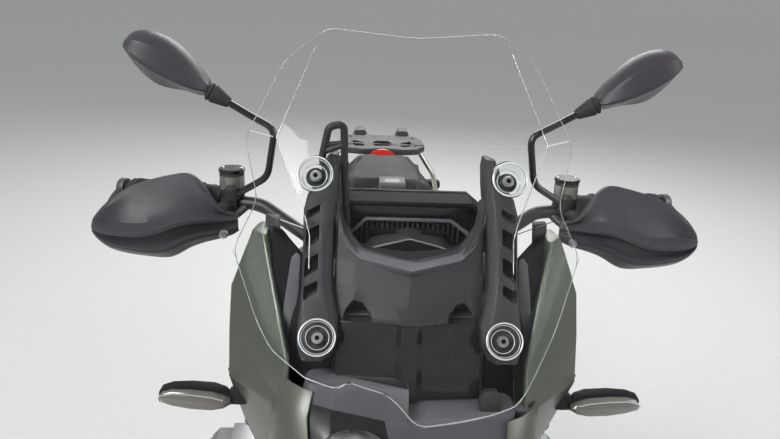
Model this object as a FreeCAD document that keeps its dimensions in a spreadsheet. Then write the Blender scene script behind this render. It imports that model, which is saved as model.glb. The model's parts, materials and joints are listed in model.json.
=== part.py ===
# Adventure motorcycle with a flat twin engine and shaft drive, parked upright on its centre stand.
# Millimetres. X to the rider's left, Y to the rear, Z up. Origin on the floor under the middle.
import FreeCAD, Part
import math
import os
import Sketcher
from types import SimpleNamespace
from FreeCAD import Placement, Rotation, Vector

# Driving sizes: name, value, meaning
SIZES = [
    ("front_axle_y", -809.5, "front axle, from the middle of the length"),
    ("wheelbase", 1515, "front axle to rear axle"),
    ("front_tyre_radius", 325.5, "front tyre, outside"),
    ("front_tyre_width", 120, "front tyre"),
    ("front_bed_radius", 235.7, "front rim, bead seat"),
    ("front_rim_width", 76, "front rim, between the flanges"),
    ("rear_tyre_radius", 318, "rear tyre, outside"),
    ("rear_tyre_width", 170, "rear tyre"),
    ("rear_bed_radius", 212, "rear rim, bead seat"),
    ("rear_rim_width", 114, "rear rim, between the flanges"),
    ("rear_lift", 18, "rear tyre above the floor on the centre stand"),
    ("rim_flange", 14, "height of a rim's flange over its bed"),
    ("rim_wall", 5, "thickness of a rim"),
    ("spoke_radius", 2.6, "wire spoke"),
    ("fit_gap", 0.3, "clearance between pieces that seat on or turn in each other"),
    ("disc_radius", 152.5, "front brake disc"),
    ("rear_disc_radius", 138, "rear brake disc"),
    ("disc_thickness", 5, "brake discs"),
    ("front_disc_x", 61.5, "inner face of a front disc"),
    ("rear_disc_x", 50, "inner face of the rear disc"),
    ("axle_radius", 10, "front axle"),
    ("rear_spindle_radius", 18, "spindle of the rear wheel"),
    ("disc_running_gap", 5, "between a disc and its caliper"),
    ("rake", 26, "steering head, degrees from upright"),
    ("head_y", -471.5, "steering axis at head_z"),
    ("head_z", 900, "reference height on the steering axis"),
    ("head_length", 135, "height of the steering head tube"),
    ("head_radius", 33, "outside of the steering head tube"),
    ("stem_radius", 15, "steering stem"),
    ("yoke_offset", 30, "fork legs ahead of the steering axis"),
    ("leg_x", 108, "fork leg from the middle"),
    ("outer_leg_radius", 27, "upper fork tube"),
    ("inner_leg_radius", 21.5, "lower fork tube"),
    ("yoke_thickness", 35, "lower yoke"),
    ("bar_radius", 11, "handlebar tube"),
    ("grip_radius", 17, "handlebar grip"),
    ("frame_tube_radius", 16, "main frame tubes"),
    ("rail_radius", 11, "rear subframe tubes"),
    ("engine_half_width", 140, "crankcase from the middle"),
    ("crank_y", -150, "crankshaft"),
    ("crank_z", 480, "crankshaft"),
    ("barrel_radius", 66, "cylinder barrel"),
    ("fin_radius", 82, "cylinder fins"),
    ("swingarm_pivot_y", 150, "swingarm pivot"),
    ("swingarm_pivot_z", 400, "swingarm pivot"),
    ("swingarm_x", 132, "middle of the single swingarm"),
    ("swingarm_radius", 33, "swingarm tube"),
    ("stand_y", 120, "pivot of the centre stand"),
    ("stand_z", 300, "pivot of the centre stand"),
    ("stand_tube_radius", 14, "legs of the centre stand"),
    ("screen_thickness", 4, "windscreen"),
    ("panel_wall", 22, "side panels, between their skins"),
    ("rack_z", 967, "underside of the luggage rack"),
    ("rack_thickness", 18, "luggage rack"),
    ("rack_bolt_radius", 3.3, "bolt holes of the luggage rack"),
    ("rack_bolt_x", 208, "bolt holes of the luggage rack, side to side"),
    ("rack_bolt_y", 110, "bolt holes of the luggage rack, front to back"),
    ("silencer_radius", 58, "silencer"),
    ("cap_radius", 46, "fuel cap"),
]


class Size(float):
    """A number that remembers its formula in the spreadsheet's names."""

    def __new__(cls, value, formula):
        size = super().__new__(cls, value)
        size.formula = formula
        return size

    def combined(self, other, sign, value):
        right = getattr(other, "formula", repr(float(other)))
        return Size(value, f"({self.formula} {sign} {right})")

    def __add__(self, other):
        return self.combined(other, "+", float(self) + float(other))

    def __sub__(self, other):
        return self.combined(other, "-", float(self) - float(other))

    def __mul__(self, other):
        return self.combined(other, "*", float(self) * float(other))

    def __truediv__(self, other):
        return self.combined(other, "/", float(self) / float(other))

    def __neg__(self):
        return Size(-float(self), f"(0 - {self.formula})")


doc = FreeCAD.newDocument("AdventureMotorcycle")
sheet = doc.addObject("Spreadsheet::Sheet", "Sizes")
for row, (alias, value, meaning) in enumerate(SIZES, start=1):
    sheet.set(f"A{row}", meaning)
    sheet.set(f"B{row}", str(value))
    sheet.setAlias(f"B{row}", alias)
doc.recompute()
dim = SimpleNamespace(**{row[0]: Size(sheet.get(row[0]), f"Sizes.{row[0]}") for row in SIZES})

nodes = []
ALONG_X = Vector(1, 0, 0)
ALONG_Y = Vector(0, 1, 0)
ALONG_Z = Vector(0, 0, 1)
ORIGIN = Vector(0, 0, 0)


# Places that several pieces share
front_axle_z = float(dim.front_tyre_radius)
front_axle = Vector(0, dim.front_axle_y, front_axle_z)
rear_axle = Vector(0, dim.front_axle_y + dim.wheelbase, dim.rear_tyre_radius + dim.rear_lift)
steering_place = Placement(Vector(0, dim.head_y, dim.head_z), Rotation(ALONG_X, -float(dim.rake)))
steering_axis = steering_place.Rotation.multVec(ALONG_Z)
local_axle = steering_place.inverse().multVec(front_axle)


# Shapes
def solid_of(points_list):
    """Ruled solid through closed sections with as many points each."""
    wires = [Part.makePolygon([Vector(*p) for p in points] + [Vector(*points[0])]) for points in points_list]
    return Part.makeLoft(wires, True, True)


def rounded_ring(points, radius):
    """Closed outline whose corners are arcs, with one line and one arc to each corner."""
    corners = [Vector(*p) for p in points]
    ends = []
    for before, corner, after in zip(corners[-1:] + corners[:-1], corners, corners[1:] + corners[:1]):
        into = (corner - before).normalize()
        out = (after - corner).normalize()
        half = into.getAngle(out) / 2
        shorter = min((corner - before).Length, (after - corner).Length)
        reach = min(radius * math.tan(half), 0.4 * shorter)
        first = corner - into * reach
        last = corner + out * reach
        if half < math.radians(2):
            ends.append((first, last, Part.makeLine(first, last)))
            continue
        round_radius = reach / math.tan(half)
        inward = (out - into).normalize()
        middle = corner + inward * (round_radius / math.cos(half) - round_radius)
        ends.append((first, last, Part.Arc(first, middle, last).toShape()))
    edges = []
    for (first, last, arc), (next_first, next_last, next_arc) in zip(ends, ends[1:] + ends[:1]):
        edges.append(arc)
        edges.append(Part.makeLine(last, next_first))
    return Part.Wire(edges)


def moulded(sections, radius):
    """Ruled solid through closed sections whose corners are rounded."""
    return Part.makeLoft([rounded_ring(points, radius) for points in sections], True, True)


def prism(points, direction):
    """Flat outline pushed along a direction."""
    vectors = [Vector(*p) for p in points]
    return Part.Face(Part.makePolygon(vectors + vectors[:1])).extrude(Vector(*direction))


def outline_y(points, y_from, y_to):
    """Outline of x, z points pushed along Y."""
    return prism([(x, y_from, z) for x, z in points], (0, y_to - y_from, 0))


def outline_x(points, x_from, x_to):
    """Outline of y, z points pushed along X."""
    return prism([(x_from, y, z) for y, z in points], (x_to - x_from, 0, 0))


def outline_z(points, z_from, z_to):
    """Outline of x, y points pushed along Z."""
    return prism([(x, y, z_from) for x, y in points], (0, 0, z_to - z_from))


def rod(start, end, radius):
    """Cylinder from point to point."""
    start = Vector(*start)
    run = Vector(*end) - start
    return Part.makeCylinder(float(radius), run.Length, start, run)


def ring(start, end, radius, bore):
    """Cylinder with a bore through it."""
    run = Vector(*end) - Vector(*start)
    extra = run.normalize() * 1.0
    return rod(start, end, radius).cut(rod(Vector(*start) - extra, Vector(*end) + extra, bore))


def box(x_range, y_range, z_range):
    """Box between two values on each axis."""
    corner = Vector(x_range[0], y_range[0], z_range[0])
    return Part.makeBox(x_range[1] - x_range[0], y_range[1] - y_range[0], z_range[1] - z_range[0], corner)


def turned(profile, centre):
    """Ring about an axis along X, from a closed outline of x, radius points."""
    points = [centre + Vector(x, 0, radius) for x, radius in profile]
    face = Part.Face(Part.makePolygon(points + points[:1]))
    return face.revolve(centre, ALONG_X, 360)


def tube(points, radius, bend):
    """Round tube along straight runs joined by arcs of one bend radius."""
    path = [Vector(*p) for p in points]
    edges = []
    start = path[0]
    for before, corner, after in zip(path, path[1:], path[2:]):
        into = (corner - before).normalize()
        out = (after - corner).normalize()
        half = into.getAngle(out) / 2
        if half < 0.01:
            continue
        runs = min((corner - before).Length, (after - corner).Length)
        reach = min(bend * math.tan(half), 0.45 * runs)
        radius_here = reach / math.tan(half)
        first = corner - into * reach
        last = corner + out * reach
        centre = corner + (out - into).normalize() * (radius_here / math.cos(half))
        middle = centre + (corner - centre).normalize() * radius_here
        edges.append(Part.makeLine(start, first))
        edges.append(Part.Arc(first, middle, last).toShape())
        start = last
    edges.append(Part.makeLine(start, path[-1]))
    circle = Part.makeCircle(float(radius), path[0], path[1] - path[0])
    return Part.Wire(edges).makePipeShell([Part.Wire(circle)], True, True)


def mirrored(shape):
    """The same shape on the other side of the motorcycle."""
    return shape.mirror(ORIGIN, ALONG_X)


def both(shape):
    """A shape and its mirror image as two solids."""
    return Part.makeCompound([shape, mirrored(shape)])


def merged(shapes):
    """One solid of several shapes."""
    return shapes[0].multiFuse(list(shapes[1:])).removeSplitter()


def largest(shape):
    """The main solid that a cut leaves."""
    return max(shape.Solids, key=lambda solid: solid.Volume)


def seated(shape, *carriers):
    """A shape cut back to the faces of what it seats on."""
    for carrier in carriers:
        shape = shape.cut(carrier)
    return shape


def node(label, shape, placement=None):
    """Sub-part whose shape comes from Part's own functions."""
    sub_part = doc.addObject("Part::Feature", label)
    sub_part.Label = label
    sub_part.Shape = shape
    sub_part.Placement = placement or shape.Placement
    nodes.append(sub_part)
    return sub_part.Shape


def bind(item, **properties):
    """Give properties their values and tie them to the spreadsheet."""
    for name, value in properties.items():
        setattr(item, name, float(value))
        if hasattr(value, "formula"):
            item.setExpression(name, value.formula)


def primitive(kind, label, place, way, **sizes):
    """Part primitive tied to the spreadsheet, its foot at a place and its axis along a way."""
    item = doc.addObject("Part::" + kind, label)
    bind(item, **sizes)
    item.Placement = Placement(Vector(*place), Rotation(ALONG_Z, Vector(*way)))
    return item


def fused(label, items):
    """Union of document objects."""
    union = doc.addObject("Part::MultiFuse", label)
    union.Shapes = items
    union.Refine = True
    return union


def cut_by(label, base, *tools):
    """Document object with others cut from it, one after the other."""
    for index, tool in enumerate(tools, start=1):
        cut = doc.addObject("Part::Cut", label if index == len(tools) else f"{label}_cut_{index}")
        cut.Base = base
        cut.Tool = tool
        cut.Refine = True
        base = cut
    return base


def finished(item):
    """Count a document object among the sub-parts and return its shape."""
    doc.recompute()
    nodes.append(item)
    return item.Shape


# Wheels
def tyre_shape(centre, radius, width, bed, rim_width, flange):
    """Tyre with a round crown, full sidewalls and beads between the rim's flanges."""
    bead = rim_width / 2 - 0.3
    seat = bed + 0.3
    top = bed + flange + 2
    belly = (top + radius) / 2 - 6
    shoulder = radius - width * 0.13

    def at(x, r):
        return centre + Vector(x, 0, r)

    side = Part.Arc(at(-bead, top), at(-width / 2, belly), at(-width * 0.42, shoulder)).toShape()
    crown = Part.Arc(at(-width * 0.42, shoulder), at(0, radius), at(width * 0.42, shoulder)).toShape()
    other = Part.Arc(at(width * 0.42, shoulder), at(width / 2, belly), at(bead, top)).toShape()
    beads = Part.makePolygon([at(bead, top), at(bead, seat), at(-bead, seat), at(-bead, top)])
    wire = Part.Wire([side, crown, other] + beads.Edges)
    return Part.Face(wire).revolve(centre, ALONG_X, 360)


def rim_shape(centre, bed, rim_width, flange, wall):
    """Deep-bed rim with raised flanges."""
    half = rim_width / 2
    profile = [(-half - wall, bed + flange), (-half, bed + flange), (-half, bed), (-half * 0.6, bed),
               (-half * 0.4, bed - 10), (half * 0.4, bed - 10), (half * 0.6, bed), (half, bed),
               (half, bed + flange), (half + wall, bed + flange), (half + wall, bed + 2),
               (half * 0.7, bed - wall - 2), (half * 0.5, bed - 10 - wall), (-half * 0.5, bed - 10 - wall),
               (-half * 0.7, bed - wall - 2), (-half - wall, bed + 2)]
    return turned(profile, centre)


def spokes(centre, count, hub_x, hub_radius, rim_x, rim_radius, radius):
    """Crossed wire spokes, every other pair leaning the other way."""
    wires = []
    for index in range(count):
        side = 1 if index % 2 else -1
        lean = 1 if (index // 2) % 2 else -1
        angle = math.radians(360 / count * index)
        hub_angle = angle + lean * math.radians(55)
        hub = centre + Vector(side * hub_x, hub_radius * math.sin(hub_angle), hub_radius * math.cos(hub_angle))
        rim = centre + Vector(side * rim_x, rim_radius * math.sin(angle), rim_radius * math.cos(angle))
        wires.append(rod(hub, rim, radius))
    return wires


def front_wheel():
    node("front_tyre", tyre_shape(front_axle, dim.front_tyre_radius, dim.front_tyre_width,
                                  dim.front_bed_radius, dim.front_rim_width, dim.rim_flange))
    bore = dim.axle_radius + dim.fit_gap
    face = float(dim.front_disc_x)
    hub = turned([(-face, 44), (-face + 6, 44), (-44, 30), (-41, 48), (-35, 48), (-31, 27), (31, 27), (35, 48),
                  (41, 48), (44, 30), (face - 6, 44), (face, 44), (face, 22), (70, 22), (70, bore),
                  (-70, bore), (-70, 22), (-face, 22)], front_axle)
    rim = rim_shape(front_axle, dim.front_bed_radius, dim.front_rim_width, dim.rim_flange, dim.rim_wall)
    wires = spokes(front_axle, 32, 38, 44, 15, dim.front_bed_radius - 12, dim.spoke_radius)
    node("front_rim", rim.multiFuse([hub] + wires))


def disc_body(name, radius, inner, spokes_count):
    """Brake disc as a pad with a bore, windows round its carrier and cooling holes."""
    body = doc.addObject("PartDesign::Body", name)
    plane = [item for item in body.Origin.OriginFeatures if item.Role == "YZ_Plane"][0]
    blank = body.newObject("Sketcher::SketchObject", name + "_outline")
    blank.AttachmentSupport = (plane, "")
    blank.MapMode = "FlatFace"
    blank.addGeometry(Part.Circle(ORIGIN, ALONG_Z, float(radius)))
    blank.addGeometry(Part.Circle(ORIGIN, ALONG_Z, float(inner)))
    for index, size in enumerate((radius, inner)):
        blank.addConstraint(Sketcher.Constraint("Coincident", index, 3, -1, 1))
        number = blank.addConstraint(Sketcher.Constraint("Radius", index, float(size)))
        blank.setExpression(f"Constraints[{number}]", size.formula)
    pad = body.newObject("PartDesign::Pad", name + "_plate")
    pad.Profile = blank
    bind(pad, Length=dim.disc_thickness)
    windows = body.newObject("Sketcher::SketchObject", name + "_window")
    windows.AttachmentSupport = (plane, "")
    windows.MapMode = "FlatFace"
    low = inner + 12
    high = radius - 34
    half = math.radians(360 / spokes_count * 0.36)
    corners = [Vector(float(low) * math.cos(-half), float(low) * math.sin(-half)),
               Vector(float(high) * math.cos(-half), float(high) * math.sin(-half)),
               Vector(float(high) * math.cos(half), float(high) * math.sin(half)),
               Vector(float(low) * math.cos(half), float(low) * math.sin(half))]
    for start, end in zip(corners, corners[1:] + corners[:1]):
        windows.addGeometry(Part.LineSegment(start, end))
    pocket = body.newObject("PartDesign::Pocket", name + "_pocket")
    pocket.Profile = windows
    pocket.Type = 1
    pocket.Midplane = True
    pattern = body.newObject("PartDesign::PolarPattern", name + "_windows")
    pattern.Originals = [pocket]
    pattern.Axis = (blank, ["N_Axis"])
    pattern.Angle = 360
    pattern.Occurrences = spokes_count
    body.Tip = pattern
    return body


def brake_discs():
    front = disc_body("front_disc_plate", dim.disc_radius, Size(30, "30"), 8)
    rear = disc_body("rear_disc_plate", dim.rear_disc_radius, Size(30, "30"), 6)
    doc.recompute()
    plate = front.Shape.translated(front_axle + ALONG_X * float(dim.front_disc_x))
    node("front_discs", both(plate))
    node("rear_disc", rear.Shape.translated(rear_axle + ALONG_X * float(dim.rear_disc_x)))


def rear_wheel():
    node("rear_tyre", tyre_shape(rear_axle, dim.rear_tyre_radius, dim.rear_tyre_width,
                                 dim.rear_bed_radius, dim.rear_rim_width, dim.rim_flange))
    bore = dim.rear_spindle_radius + dim.fit_gap
    face = float(dim.rear_disc_x)
    hub = turned([(-46, 34), (-34, 36), (-33, 52), (-27, 52), (-24, 34), (24, 34), (27, 52), (33, 52), (36, 44),
                  (face, 44), (face, 26), (face + 10, 26), (face + 10, bore), (-46, bore)], rear_axle)
    rim = rim_shape(rear_axle, dim.rear_bed_radius, dim.rear_rim_width, dim.rim_flange, dim.rim_wall)
    wires = spokes(rear_axle, 32, 30, 48, 22, dim.rear_bed_radius - 12, dim.spoke_radius * 1.15)
    node("rear_rim", rim.multiFuse([hub] + wires))


# Fork, in the steering frame: Z along the steering axis, -Y ahead
def fork():
    leg_y = -float(dim.yoke_offset)
    leg_x = float(dim.leg_x)
    axle_y = local_axle.y
    axle_z = local_axle.z
    parts = []
    for side in (-1, 1):
        x = side * leg_x
        parts.append(rod((x, leg_y, -600), (x, leg_y, -250), dim.inner_leg_radius))
        parts.append(rod((x, leg_y, -250), (x, leg_y, 175), dim.outer_leg_radius))
        parts.append(rod((x, leg_y, 175), (x, leg_y, 181), 20))
        parts.append(rod((x, leg_y, -640), (x, leg_y, -585), 27))
        parts.append(rod((x - side * 22, axle_y, axle_z), (x + side * 20, axle_y, axle_z), 30))
        parts.append(prism([(x - side * 20, leg_y - 24, -604), (x - side * 20, leg_y + 24, -604),
                            (x - side * 20, axle_y + 24, axle_z), (x - side * 20, axle_y - 24, axle_z)],
                           (side * 37, 0, 0)))
        parts.append(prism([(side * 86, leg_y, -560), (side * 86, leg_y + 60, -530),
                            (side * 86, leg_y + 92, -590), (side * 86, leg_y + 60, -640),
                            (side * 86, leg_y, -650)], (side * 10, 0, 0)))
        parts.append(rod((side * 70.3, axle_y, axle_z), (side * 86, axle_y, axle_z), 22))
    parts.append(rod((-leg_x - 24, axle_y, axle_z), (leg_x + 24, axle_y, axle_z), dim.axle_radius))
    legs = merged(parts)
    node("fork_legs", legs, steering_place)

    gap = float(dim.fit_gap)
    lower = outline_z([(-leg_x - 40, leg_y - 24), (-leg_x - 24, leg_y - 38), (leg_x + 24, leg_y - 38),
                       (leg_x + 40, leg_y - 24), (leg_x + 40, leg_y + 26), (55, 38), (-55, 38),
                       (-leg_x - 40, leg_y + 26)], -float(dim.yoke_thickness), -gap)
    head = float(dim.head_length)
    upper = outline_z([(-leg_x - 38, leg_y - 20), (-leg_x - 22, leg_y - 34), (leg_x + 22, leg_y - 34),
                       (leg_x + 38, leg_y - 20), (leg_x + 38, leg_y + 24), (66, 40), (62, 70), (-62, 70),
                       (-66, 40), (-leg_x - 38, leg_y + 24)], head + gap, head + 26)
    stem = rod((0, 0, -5), (0, 0, head + 32), dim.stem_radius - gap)
    nut = rod((0, 0, head + 26), (0, 0, head + 38), 18)
    yokes = merged([lower, upper, stem, nut])
    for side in (-1, 1):
        yokes = yokes.cut(rod((side * leg_x, leg_y, -60), (side * leg_x, leg_y, 200),
                              dim.outer_leg_radius + gap))
    node("fork_yokes", yokes, steering_place)
    return legs


def calipers():
    """Front calipers, in the steering frame, round the rear of each disc."""
    gap = float(dim.disc_running_gap)
    inner = float(dim.front_disc_x)
    leg_y = -float(dim.yoke_offset)
    body = box((44, 86), (leg_y + 30, leg_y + 104), (-652, -540))
    body = body.makeFillet(7, body.Edges)
    disc = Part.makeCylinder(float(dim.disc_radius) + gap, dim.disc_thickness + 2 * gap,
                             Vector(inner - gap, local_axle.y, local_axle.z), ALONG_X)
    keep = Part.makeCylinder(float(dim.disc_radius) + 26, 60, Vector(40, local_axle.y, local_axle.z), ALONG_X)
    hollow = Part.makeCylinder(float(dim.disc_radius) - 48, 60, Vector(40, local_axle.y, local_axle.z), ALONG_X)
    node("front_calipers", both(body.common(keep).cut(hollow).cut(disc)), steering_place)


def front_mudguard():
    """Short guard hugging the front tyre, held by the fork legs."""
    inner = dim.front_tyre_radius + 15
    centre = local_axle
    outer = inner + 4
    half = dim.front_tyre_width / 2 + 10
    profile = [(-half - 3, inner - 52), (-half - 3, inner - 10), (-half * 0.6, outer), (half * 0.6, outer),
               (half + 3, inner - 10), (half + 3, inner - 52), (half, inner - 52), (half, inner - 11),
               (half * 0.58, inner), (-half * 0.58, inner), (-half, inner - 11), (-half, inner - 52)]
    points = [centre + Vector(x, 0, radius) for x, radius in profile]
    face = Part.Face(Part.makePolygon(points + points[:1]))
    shell = face.revolve(centre, ALONG_X, 108)
    shell.rotate(centre, ALONG_X, -46)
    stays = []
    for side in (-1, 1):
        x = side * (float(half) + 1)
        stays.append(prism([(x, -58, -420), (x, 2, -420), (x, -2, -352), (x, -54, -352)], (side * 22, 0, 0)))
    guard = merged([shell] + stays)
    for side in (-1, 1):
        leg = (side * dim.leg_x, -dim.yoke_offset)
        guard = guard.cut(rod((*leg, -600), (*leg, -200), dim.inner_leg_radius + dim.fit_gap))
    node("front_mudguard", guard, steering_place)


# Handlebar, in world coordinates, right half mirrored
BAR = [(0, -332, 1083), (112, -330, 1086), (225, -285, 1148), (465, -215, 1150)]


def bar_tube(radius):
    """The bar itself, or the room that it needs."""
    run = [(-x, y, z) for x, y, z in BAR[:0:-1]] + BAR[1:]
    return tube(run, radius, 45)


def handlebar():
    bar = bar_tube(dim.bar_radius)
    clamps = []
    for side in (-1, 1):
        x = side * 42
        foot = [steering_place.multVec(Vector(x + dx, dy, dim.head_length + 26))
                for dx, dy in ((-16, 22), (16, 22), (16, 64), (-16, 64))]
        top = [(x - 15, -352, 1074), (x + 15, -352, 1074), (x + 15, -310, 1074), (x - 15, -310, 1074)]
        clamps.append(solid_of([[tuple(p) for p in foot], top]))
        clamps.append(box((x - 15, x + 15), (-352, -310), (1074, 1106)))
    shape = merged([bar] + clamps)
    node("handlebar", shape)
    return shape


def along_bar(distance):
    """Point on the bar's outer run and the run's direction."""
    knee = Vector(*BAR[2])
    run = (Vector(*BAR[3]) - knee).normalize()
    return knee + run * distance, run


def bar_controls(bar):
    """Grip, switch housing, reservoir and lever of each hand, as one solid a side."""
    start, run = along_bar(112)
    end, run = along_bar(238)
    grip = rod(start, end, dim.grip_radius)
    flange = rod(along_bar(108)[0], along_bar(113)[0], 25)
    switch = rod(along_bar(68)[0], along_bar(108.5)[0], 23)
    perch = rod(along_bar(40)[0], along_bar(68.5)[0], 19)
    base = along_bar(54)[0]
    forward = Vector(run.y, -run.x, 0)
    arm = rod(base, base + forward * 44, 9)
    lever = tube([base + forward * 40, along_bar(120)[0] + forward * 50, along_bar(215)[0] + forward * 40],
                 6, 60)
    pot = rod(base + Vector(0, 0, 10), base + Vector(0, 0, 52), 20)
    hand = merged([grip, flange, switch, perch, arm, lever, pot])
    bore = rod(along_bar(0)[0], along_bar(300)[0], dim.bar_radius + dim.fit_gap)
    hand = hand.cut(bore)
    node("bar_controls", both(hand))
    return hand


# Handguard sections: x, then height and depth of the lower edge, crease and upper edge
HANDGUARD = [
    (262, 1107, -303, 1128, -306, 1136, -303),
    (290, 1095, -308, 1131, -318, 1142, -300),
    (312, 1092, -316, 1134, -328, 1168, -284),
    (340, 1083, -325, 1135, -342, 1191, -270),
    (368, 1067, -330, 1126, -351, 1188, -272),
    (400, 1071, -334, 1117, -352, 1181, -277),
    (435, 1075, -333, 1114, -344, 1169, -285),
    (470, 1083, -326, 1113, -332, 1143, -300),
    (494, 1104, -316, 1115, -318, 1122, -312),
]


def handguards(hand):
    """Deflector shell on a tube from the bar's end round to a clamp near its bend."""
    wall = 5
    sections = []
    ledge = 5
    for x, low_z, low_y, mid_z, mid_y, top_z, top_y in HANDGUARD:
        drop = mid_z - low_z
        groove_y = (low_y + mid_y) / 2 + 1
        sections.append([(x, low_y, low_z), (x, groove_y - ledge, low_z + drop * 0.42),
                         (x, groove_y, low_z + drop * 0.58), (x, mid_y - ledge, low_z + drop * 0.78),
                         (x, mid_y, mid_z), (x, top_y, top_z),
                         (x, top_y + wall, top_z - 1), (x, mid_y + wall, mid_z), (x, groove_y + wall, low_z + drop * 0.58),
                         (x, low_y + wall, low_z + 1)])
    shell = solid_of(sections)
    end = along_bar(250)[0]
    frame = tube([along_bar(252)[0], end + Vector(16, -10, -3), Vector(484, -290, 1116), Vector(440, -331, 1108),
                  Vector(330, -328, 1112), Vector(276, -298, 1122), along_bar(24)[0]], 6.5, 16)
    plug = rod(along_bar(250.8)[0], along_bar(264)[0], 15)
    guard = merged([shell, frame, plug]).cut(bar_tube(dim.bar_radius + dim.fit_gap)).cut(hand)
    node("handguards", both(guard))


# Mirror sections: x, bottom, top, ridge height, ridge depth
MIRROR = [
    (303, 1326, 1344, 1335, -294),
    (321, 1323, 1368, 1339, -300),
    (340, 1331, 1391, 1349, -306),
    (362, 1333, 1408, 1361, -309),
    (388, 1338, 1419, 1375, -309),
    (411, 1358, 1420, 1388, -305),
    (432, 1387, 1405, 1398, -292),
]
MIRROR_BACK_Y = -262


def mirrors(hand):
    back = MIRROR_BACK_Y
    sections = [[(x, back, low), (x, (back + deep) / 2 - 6, low), (x, deep, ridge),
                 (x, (back + deep) / 2 - 8, high), (x, back, high)]
                for x, low, high, ridge, deep in MIRROR]
    housing = moulded(sections, 9)
    base = along_bar(54)[0]
    stem = tube([base + Vector(-2, -14, 12), Vector(214, -300, 1200), Vector(205, -291, 1276),
                 Vector(242, -286, 1296), Vector(312, -283, 1335)], 6, 18)
    boot = rod((276, -285, 1315), (304, -284, 1331), 11)
    foot = rod(base + Vector(-2, -14, 12), base + Vector(-2, -14, 34), 11)
    mirror = merged([housing, stem, boot, foot]).cut(hand)
    node("mirrors", both(mirror))
    glass = [(x + (372 - x) * 0.06, low + (high - low) * 0.08, high - (high - low) * 0.08)
             for x, low, high, ridge, deep in MIRROR]
    outline = [(x, low) for x, low, high in glass] + [(x, high) for x, low, high in reversed(glass)]
    node("mirror_glasses", both(outline_y(outline, back, back + 3)))


# Chassis
def frame_paths(side):
    """Routes of the main frame's tubes on one side."""
    pivot_y = float(dim.swingarm_pivot_y)
    rail = [(side * 22, -446, 985), (side * 80, -330, 930), (side * 105, -60, 800),
            (side * 105, pivot_y, 735), (side * 98, pivot_y + 30, 570)]
    down = [(side * 22, -430, 965), (side * 66, -360, 880), (side * 72, -316, 560)]
    return rail, down


def frame_tubes(extra=0.0):
    """Main frame tubes, or the room that they need when extra is a clearance."""
    return [tube(path, dim.frame_tube_radius + extra, 60) for side in (-1, 1) for path in frame_paths(side)]


STAND_LUG_POINT = Vector(170, 100, 285)
STAND_LUG_AXIS = Vector(-0.87, 0, -0.45).normalize()


def main_frame(case):
    """Steering head with two rails over the engine, down tubes, pivot plates and stand lugs."""
    head = rod(steering_place.multVec(ORIGIN), steering_place.multVec(Vector(0, 0, dim.head_length)),
               dim.head_radius)
    radius = float(dim.frame_tube_radius)
    pivot_y = float(dim.swingarm_pivot_y)
    pivot_z = float(dim.swingarm_pivot_z)
    parts = [head] + frame_tubes()
    for side in (-1, 1):
        parts.append(prism([(side * 92, pivot_y - 40, 600), (side * 92, pivot_y + 56, 600),
                            (side * 92, pivot_y + 44, pivot_z - 60), (side * 92, pivot_y - 18, 278),
                            (side * 92, pivot_y - 66, 278), (side * 92, pivot_y - 66, pivot_z)],
                           (side * 12, 0, 0)))
    parts.append(rod((-94, pivot_y + 10, 590), (94, pivot_y + 10, 590), radius))
    nose = box((-32, 32), (-190, -20), (38, 78))
    nose.Placement = steering_place
    parts.append(nose)
    lug = rod(STAND_LUG_POINT + STAND_LUG_AXIS * 8.3, STAND_LUG_POINT + STAND_LUG_AXIS * 44, 15)
    parts.append(lug)
    parts.append(box((100, 140), (86, 114), (262, 292)))
    frame = merged(parts)
    frame = frame.cut(rod(steering_place.multVec(Vector(0, 0, -40)), steering_place.multVec(Vector(0, 0, 180)),
                          dim.stem_radius))
    frame = frame.cut(rod(STAND_LUG_POINT, STAND_LUG_POINT + STAND_LUG_AXIS * 60, 6 + dim.fit_gap))
    frame = frame.cut(rod((-120, dim.stand_y, dim.stand_z), (120, dim.stand_y, dim.stand_z), 8 + dim.fit_gap))
    frame = frame.cut(case)
    node("main_frame", frame)
    return frame


def crankcase():
    """Crankcase with a front cover, the gearbox behind it in one casting."""
    half = float(dim.engine_half_width)
    y = float(dim.crank_y)
    z = float(dim.crank_z)
    case = outline_x([(y - 150, z - 110), (y - 176, z - 60), (y - 176, z + 70), (y - 120, z + 130),
                      (y + 60, z + 140), (y + 220, z + 110), (y + 252, z + 40), (y + 252, z - 100),
                      (y + 200, z - 120), (y - 60, z - 160)], -half, half)
    along = [edge for edge in case.Edges if abs(edge.tangentAt(edge.FirstParameter).x) < 0.01]
    case = case.makeChamfer(12, along)
    cover = Part.makeCylinder(92, 34, Vector(0, y - 176, z), Vector(0, -1, 0))
    shape = merged([case, cover])
    node("crankcase", shape)
    return shape


def cylinders(case):
    """Finned barrel, head and rounded cover on each side."""
    x = float(dim.engine_half_width)
    y = float(dim.crank_y)
    z = float(dim.crank_z)
    barrel = rod((x, y, z), (x + 128, y, z), dim.barrel_radius)
    fins = [rod((place, y, z), (place + 4, y, z), dim.fin_radius) for place in (x + 16 + 13 * i for i in range(8))]
    head = box((x + 122, x + 182), (y - 86, y + 86), (z - 84, z + 104))
    head = head.makeFillet(26, edges_along_x(head))
    cover = box((x + 182, x + 226), (y - 80, y + 80), (z - 78, z + 98))
    cover = cover.makeFillet(30, edges_along_x(cover))
    rim = [edge for edge in cover.Edges if edge.BoundBox.XMin > x + 225.9]
    cover = cover.makeChamfer(14, rim)
    side = merged([barrel, head, cover] + fins).cut(case)
    shape = both(side)
    node("cylinders", shape)
    return shape


def edges_along_x(shape):
    """Straight edges parallel to X."""
    return [edge for edge in shape.Edges if abs(edge.tangentAt(edge.FirstParameter).x) > 0.99]


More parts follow.
